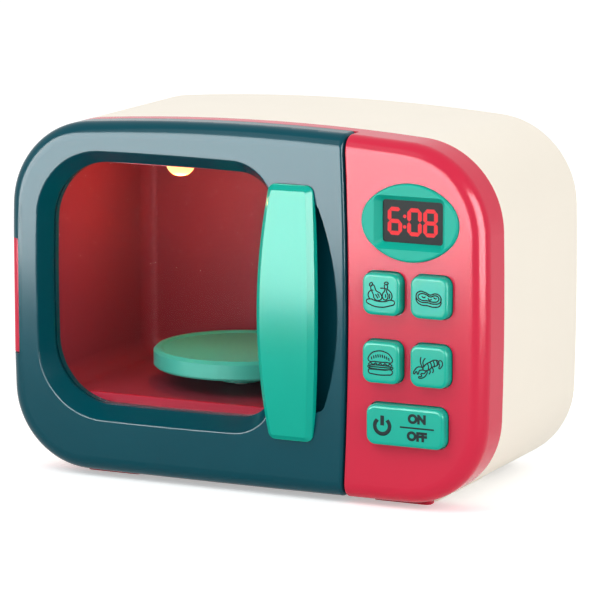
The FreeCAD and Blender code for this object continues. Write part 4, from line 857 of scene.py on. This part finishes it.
class TOYMICROWAVE_OT_stage(bpy.types.Operator):
    """Set up the floor, the lamps and the camera"""

    bl_idname = "toy_microwave.stage"
    bl_label = "Set the Stage"

    def execute(self, context):
        scene = context.scene
        scene.view_settings.view_transform = "Standard"
        self.light_world(scene)
        self.lay_floor()
        stage = scene.toy_stage
        self.hang_lamp("key", *KEY_LAMP, stage.key)
        self.hang_lamp("fill", *FILL_LAMP, stage.fill)
        for card_values in CARDS:
            card = self.hang_lamp(*card_values)
            card.visible_diffuse = False
            card.visible_transmission = False
        self.chamber_lamp(scene, stage.lamp)
        self.set_camera(scene)
        return {"FINISHED"}

    def light_world(self, scene):
        """Pale even surroundings, white where the camera or a reflection sees them."""
        world = bpy.data.worlds.new("studio")
        scene.world = world
        world.use_nodes = True
        tree = world.node_tree
        tree.nodes.clear()
        seen = background_ray(tree)
        level = add(tree, "ShaderNodeMapRange", {"Value": seen, "To Min": SKY_LEVEL, "To Max": 1.0})
        sky = add(tree, "ShaderNodeBackground", {"Color": (1, 1, 1, 1), "Strength": level.outputs["Result"]})
        add(tree, "ShaderNodeOutputWorld", {"Surface": sky.outputs["Background"]})

    def lay_floor(self):
        """White floor that keeps the soft shadow."""
        material, tree, out = new_material("white_floor")
        seen = background_ray(tree)
        lift = add(tree, "ShaderNodeMath", {0: seen, 1: FLOOR_LIFT}, operation="MULTIPLY")
        white = add(tree, "ShaderNodeBsdfDiffuse", {"Color": FLOOR_SHADE})
        shine = add(tree, "ShaderNodeEmission", {"Color": (1, 1, 1, 1), "Strength": lift.outputs["Value"]})
        both = add(tree, "ShaderNodeAddShader", {0: white.outputs["BSDF"], 1: shine.outputs["Emission"]})
        tree.links.new(both.outputs["Shader"], out.inputs["Surface"])
        mesh = bpy.data.meshes.new("floor")
        corners = [(x * FLOOR_REACH, y * FLOOR_REACH, 0) for x, y in ((-1, -1), (1, -1), (1, 1), (-1, 1))]
        mesh.from_pydata(corners, [], [(0, 1, 2, 3)])
        mesh.materials.append(material)
        shown("floor", mesh)

    def hang_lamp(self, name, place, target, size, power):
        """A soft rectangular lamp that faces a point."""
        data = bpy.data.lights.new(name, "AREA")
        data.shape = "RECTANGLE"
        data.size, data.size_y = size
        data.energy = power
        lamp = shown(name, data)
        lamp.location = place
        lamp.rotation_mode = "QUATERNION"
        lamp.rotation_quaternion = (Vector(target) - Vector(place)).to_track_quat("-Z", "Y")
        lamp.visible_camera = False
        return lamp

    def chamber_lamp(self, scene, power):
        """Warm light just below the lens in the chamber's ceiling."""
        low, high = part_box("lamp_lens")
        data = bpy.data.lights.new("chamber_lamp", "POINT")
        data.energy = power
        data.color = scene.toy_finish.glow
        data.shadow_soft_size = CHAMBER_LAMP_RADIUS
        data.specular_factor = 0.0
        lamp = shown("chamber_lamp", data)
        lamp.location = ((low.x + high.x) / 2, (low.y + high.y) / 2, low.z - CHAMBER_LAMP_DROP)

    def set_camera(self, scene):
        """The photograph's viewpoint."""
        data = bpy.data.cameras.new("camera")
        data.lens = CAMERA_LENS
        data.sensor_width = 36.0
        data.clip_start, data.clip_end = 0.05, 100.0
        camera = shown("camera", data)
        turn, rise = math.radians(CAMERA_AZIMUTH), math.radians(CAMERA_ELEVATION)
        back = Vector((math.sin(turn) * math.cos(rise), -math.cos(turn) * math.cos(rise), math.sin(rise)))
        camera.location = Vector(CAMERA_TARGET) + back * CAMERA_DISTANCE
        camera.rotation_mode = "QUATERNION"
        camera.rotation_quaternion = (-back).to_track_quat("-Z", "Y")
        scene.camera = camera


OPERATORS = (
    TOYMICROWAVE_OT_cabinet, TOYMICROWAVE_OT_door, TOYMICROWAVE_OT_controls, TOYMICROWAVE_OT_drive,
    TOYMICROWAVE_OT_power, TOYMICROWAVE_OT_lamp, TOYMICROWAVE_OT_signs, TOYMICROWAVE_OT_numbers,
    TOYMICROWAVE_OT_screws, TOYMICROWAVE_OT_stage,
)
SETTINGS = {
    "toy_finish": ToyMicrowaveFinish,
    "toy_signs": ToyMicrowaveSigns,
    "toy_stage": ToyMicrowaveStage,
}


class TOYMICROWAVE_PT_sidebar(bpy.types.Panel):
    """Steps and settings of the toy microwave"""

    bl_idname = "TOYMICROWAVE_PT_sidebar"
    bl_label = "Toy Microwave"
    bl_space_type = "VIEW_3D"
    bl_region_type = "UI"
    bl_category = "Toy Microwave"

    def draw(self, context):
        for operator in OPERATORS:
            self.layout.operator(operator.bl_idname)
        for name, group in SETTINGS.items():
            box = self.layout.box()
            for key in group.__annotations__:
                box.prop(getattr(context.scene, name), key)


CLASSES = (*SETTINGS.values(), *OPERATORS, TOYMICROWAVE_PT_sidebar)


def register():
    """Makes the steps and the settings known."""
    for cls in CLASSES:
        bpy.utils.register_class(cls)
    for name, group in SETTINGS.items():
        setattr(bpy.types.Scene, name, bpy.props.PointerProperty(type=group))


def unregister():
    """Takes the steps and the settings away again."""
    for name in SETTINGS:
        delattr(bpy.types.Scene, name)
    for cls in reversed(CLASSES):
        bpy.utils.unregister_class(cls)


def main():
    """Runs every step in order."""
    register()
    bpy.ops.toy_microwave.cabinet()
    bpy.ops.toy_microwave.door()
    bpy.ops.toy_microwave.controls()
    bpy.ops.toy_microwave.drive()
    bpy.ops.toy_microwave.power()
    bpy.ops.toy_microwave.lamp()
    bpy.ops.toy_microwave.signs()
    bpy.ops.toy_microwave.numbers()
    bpy.ops.toy_microwave.screws()
    bpy.ops.toy_microwave.stage()


if __name__ == "__main__":
    main()
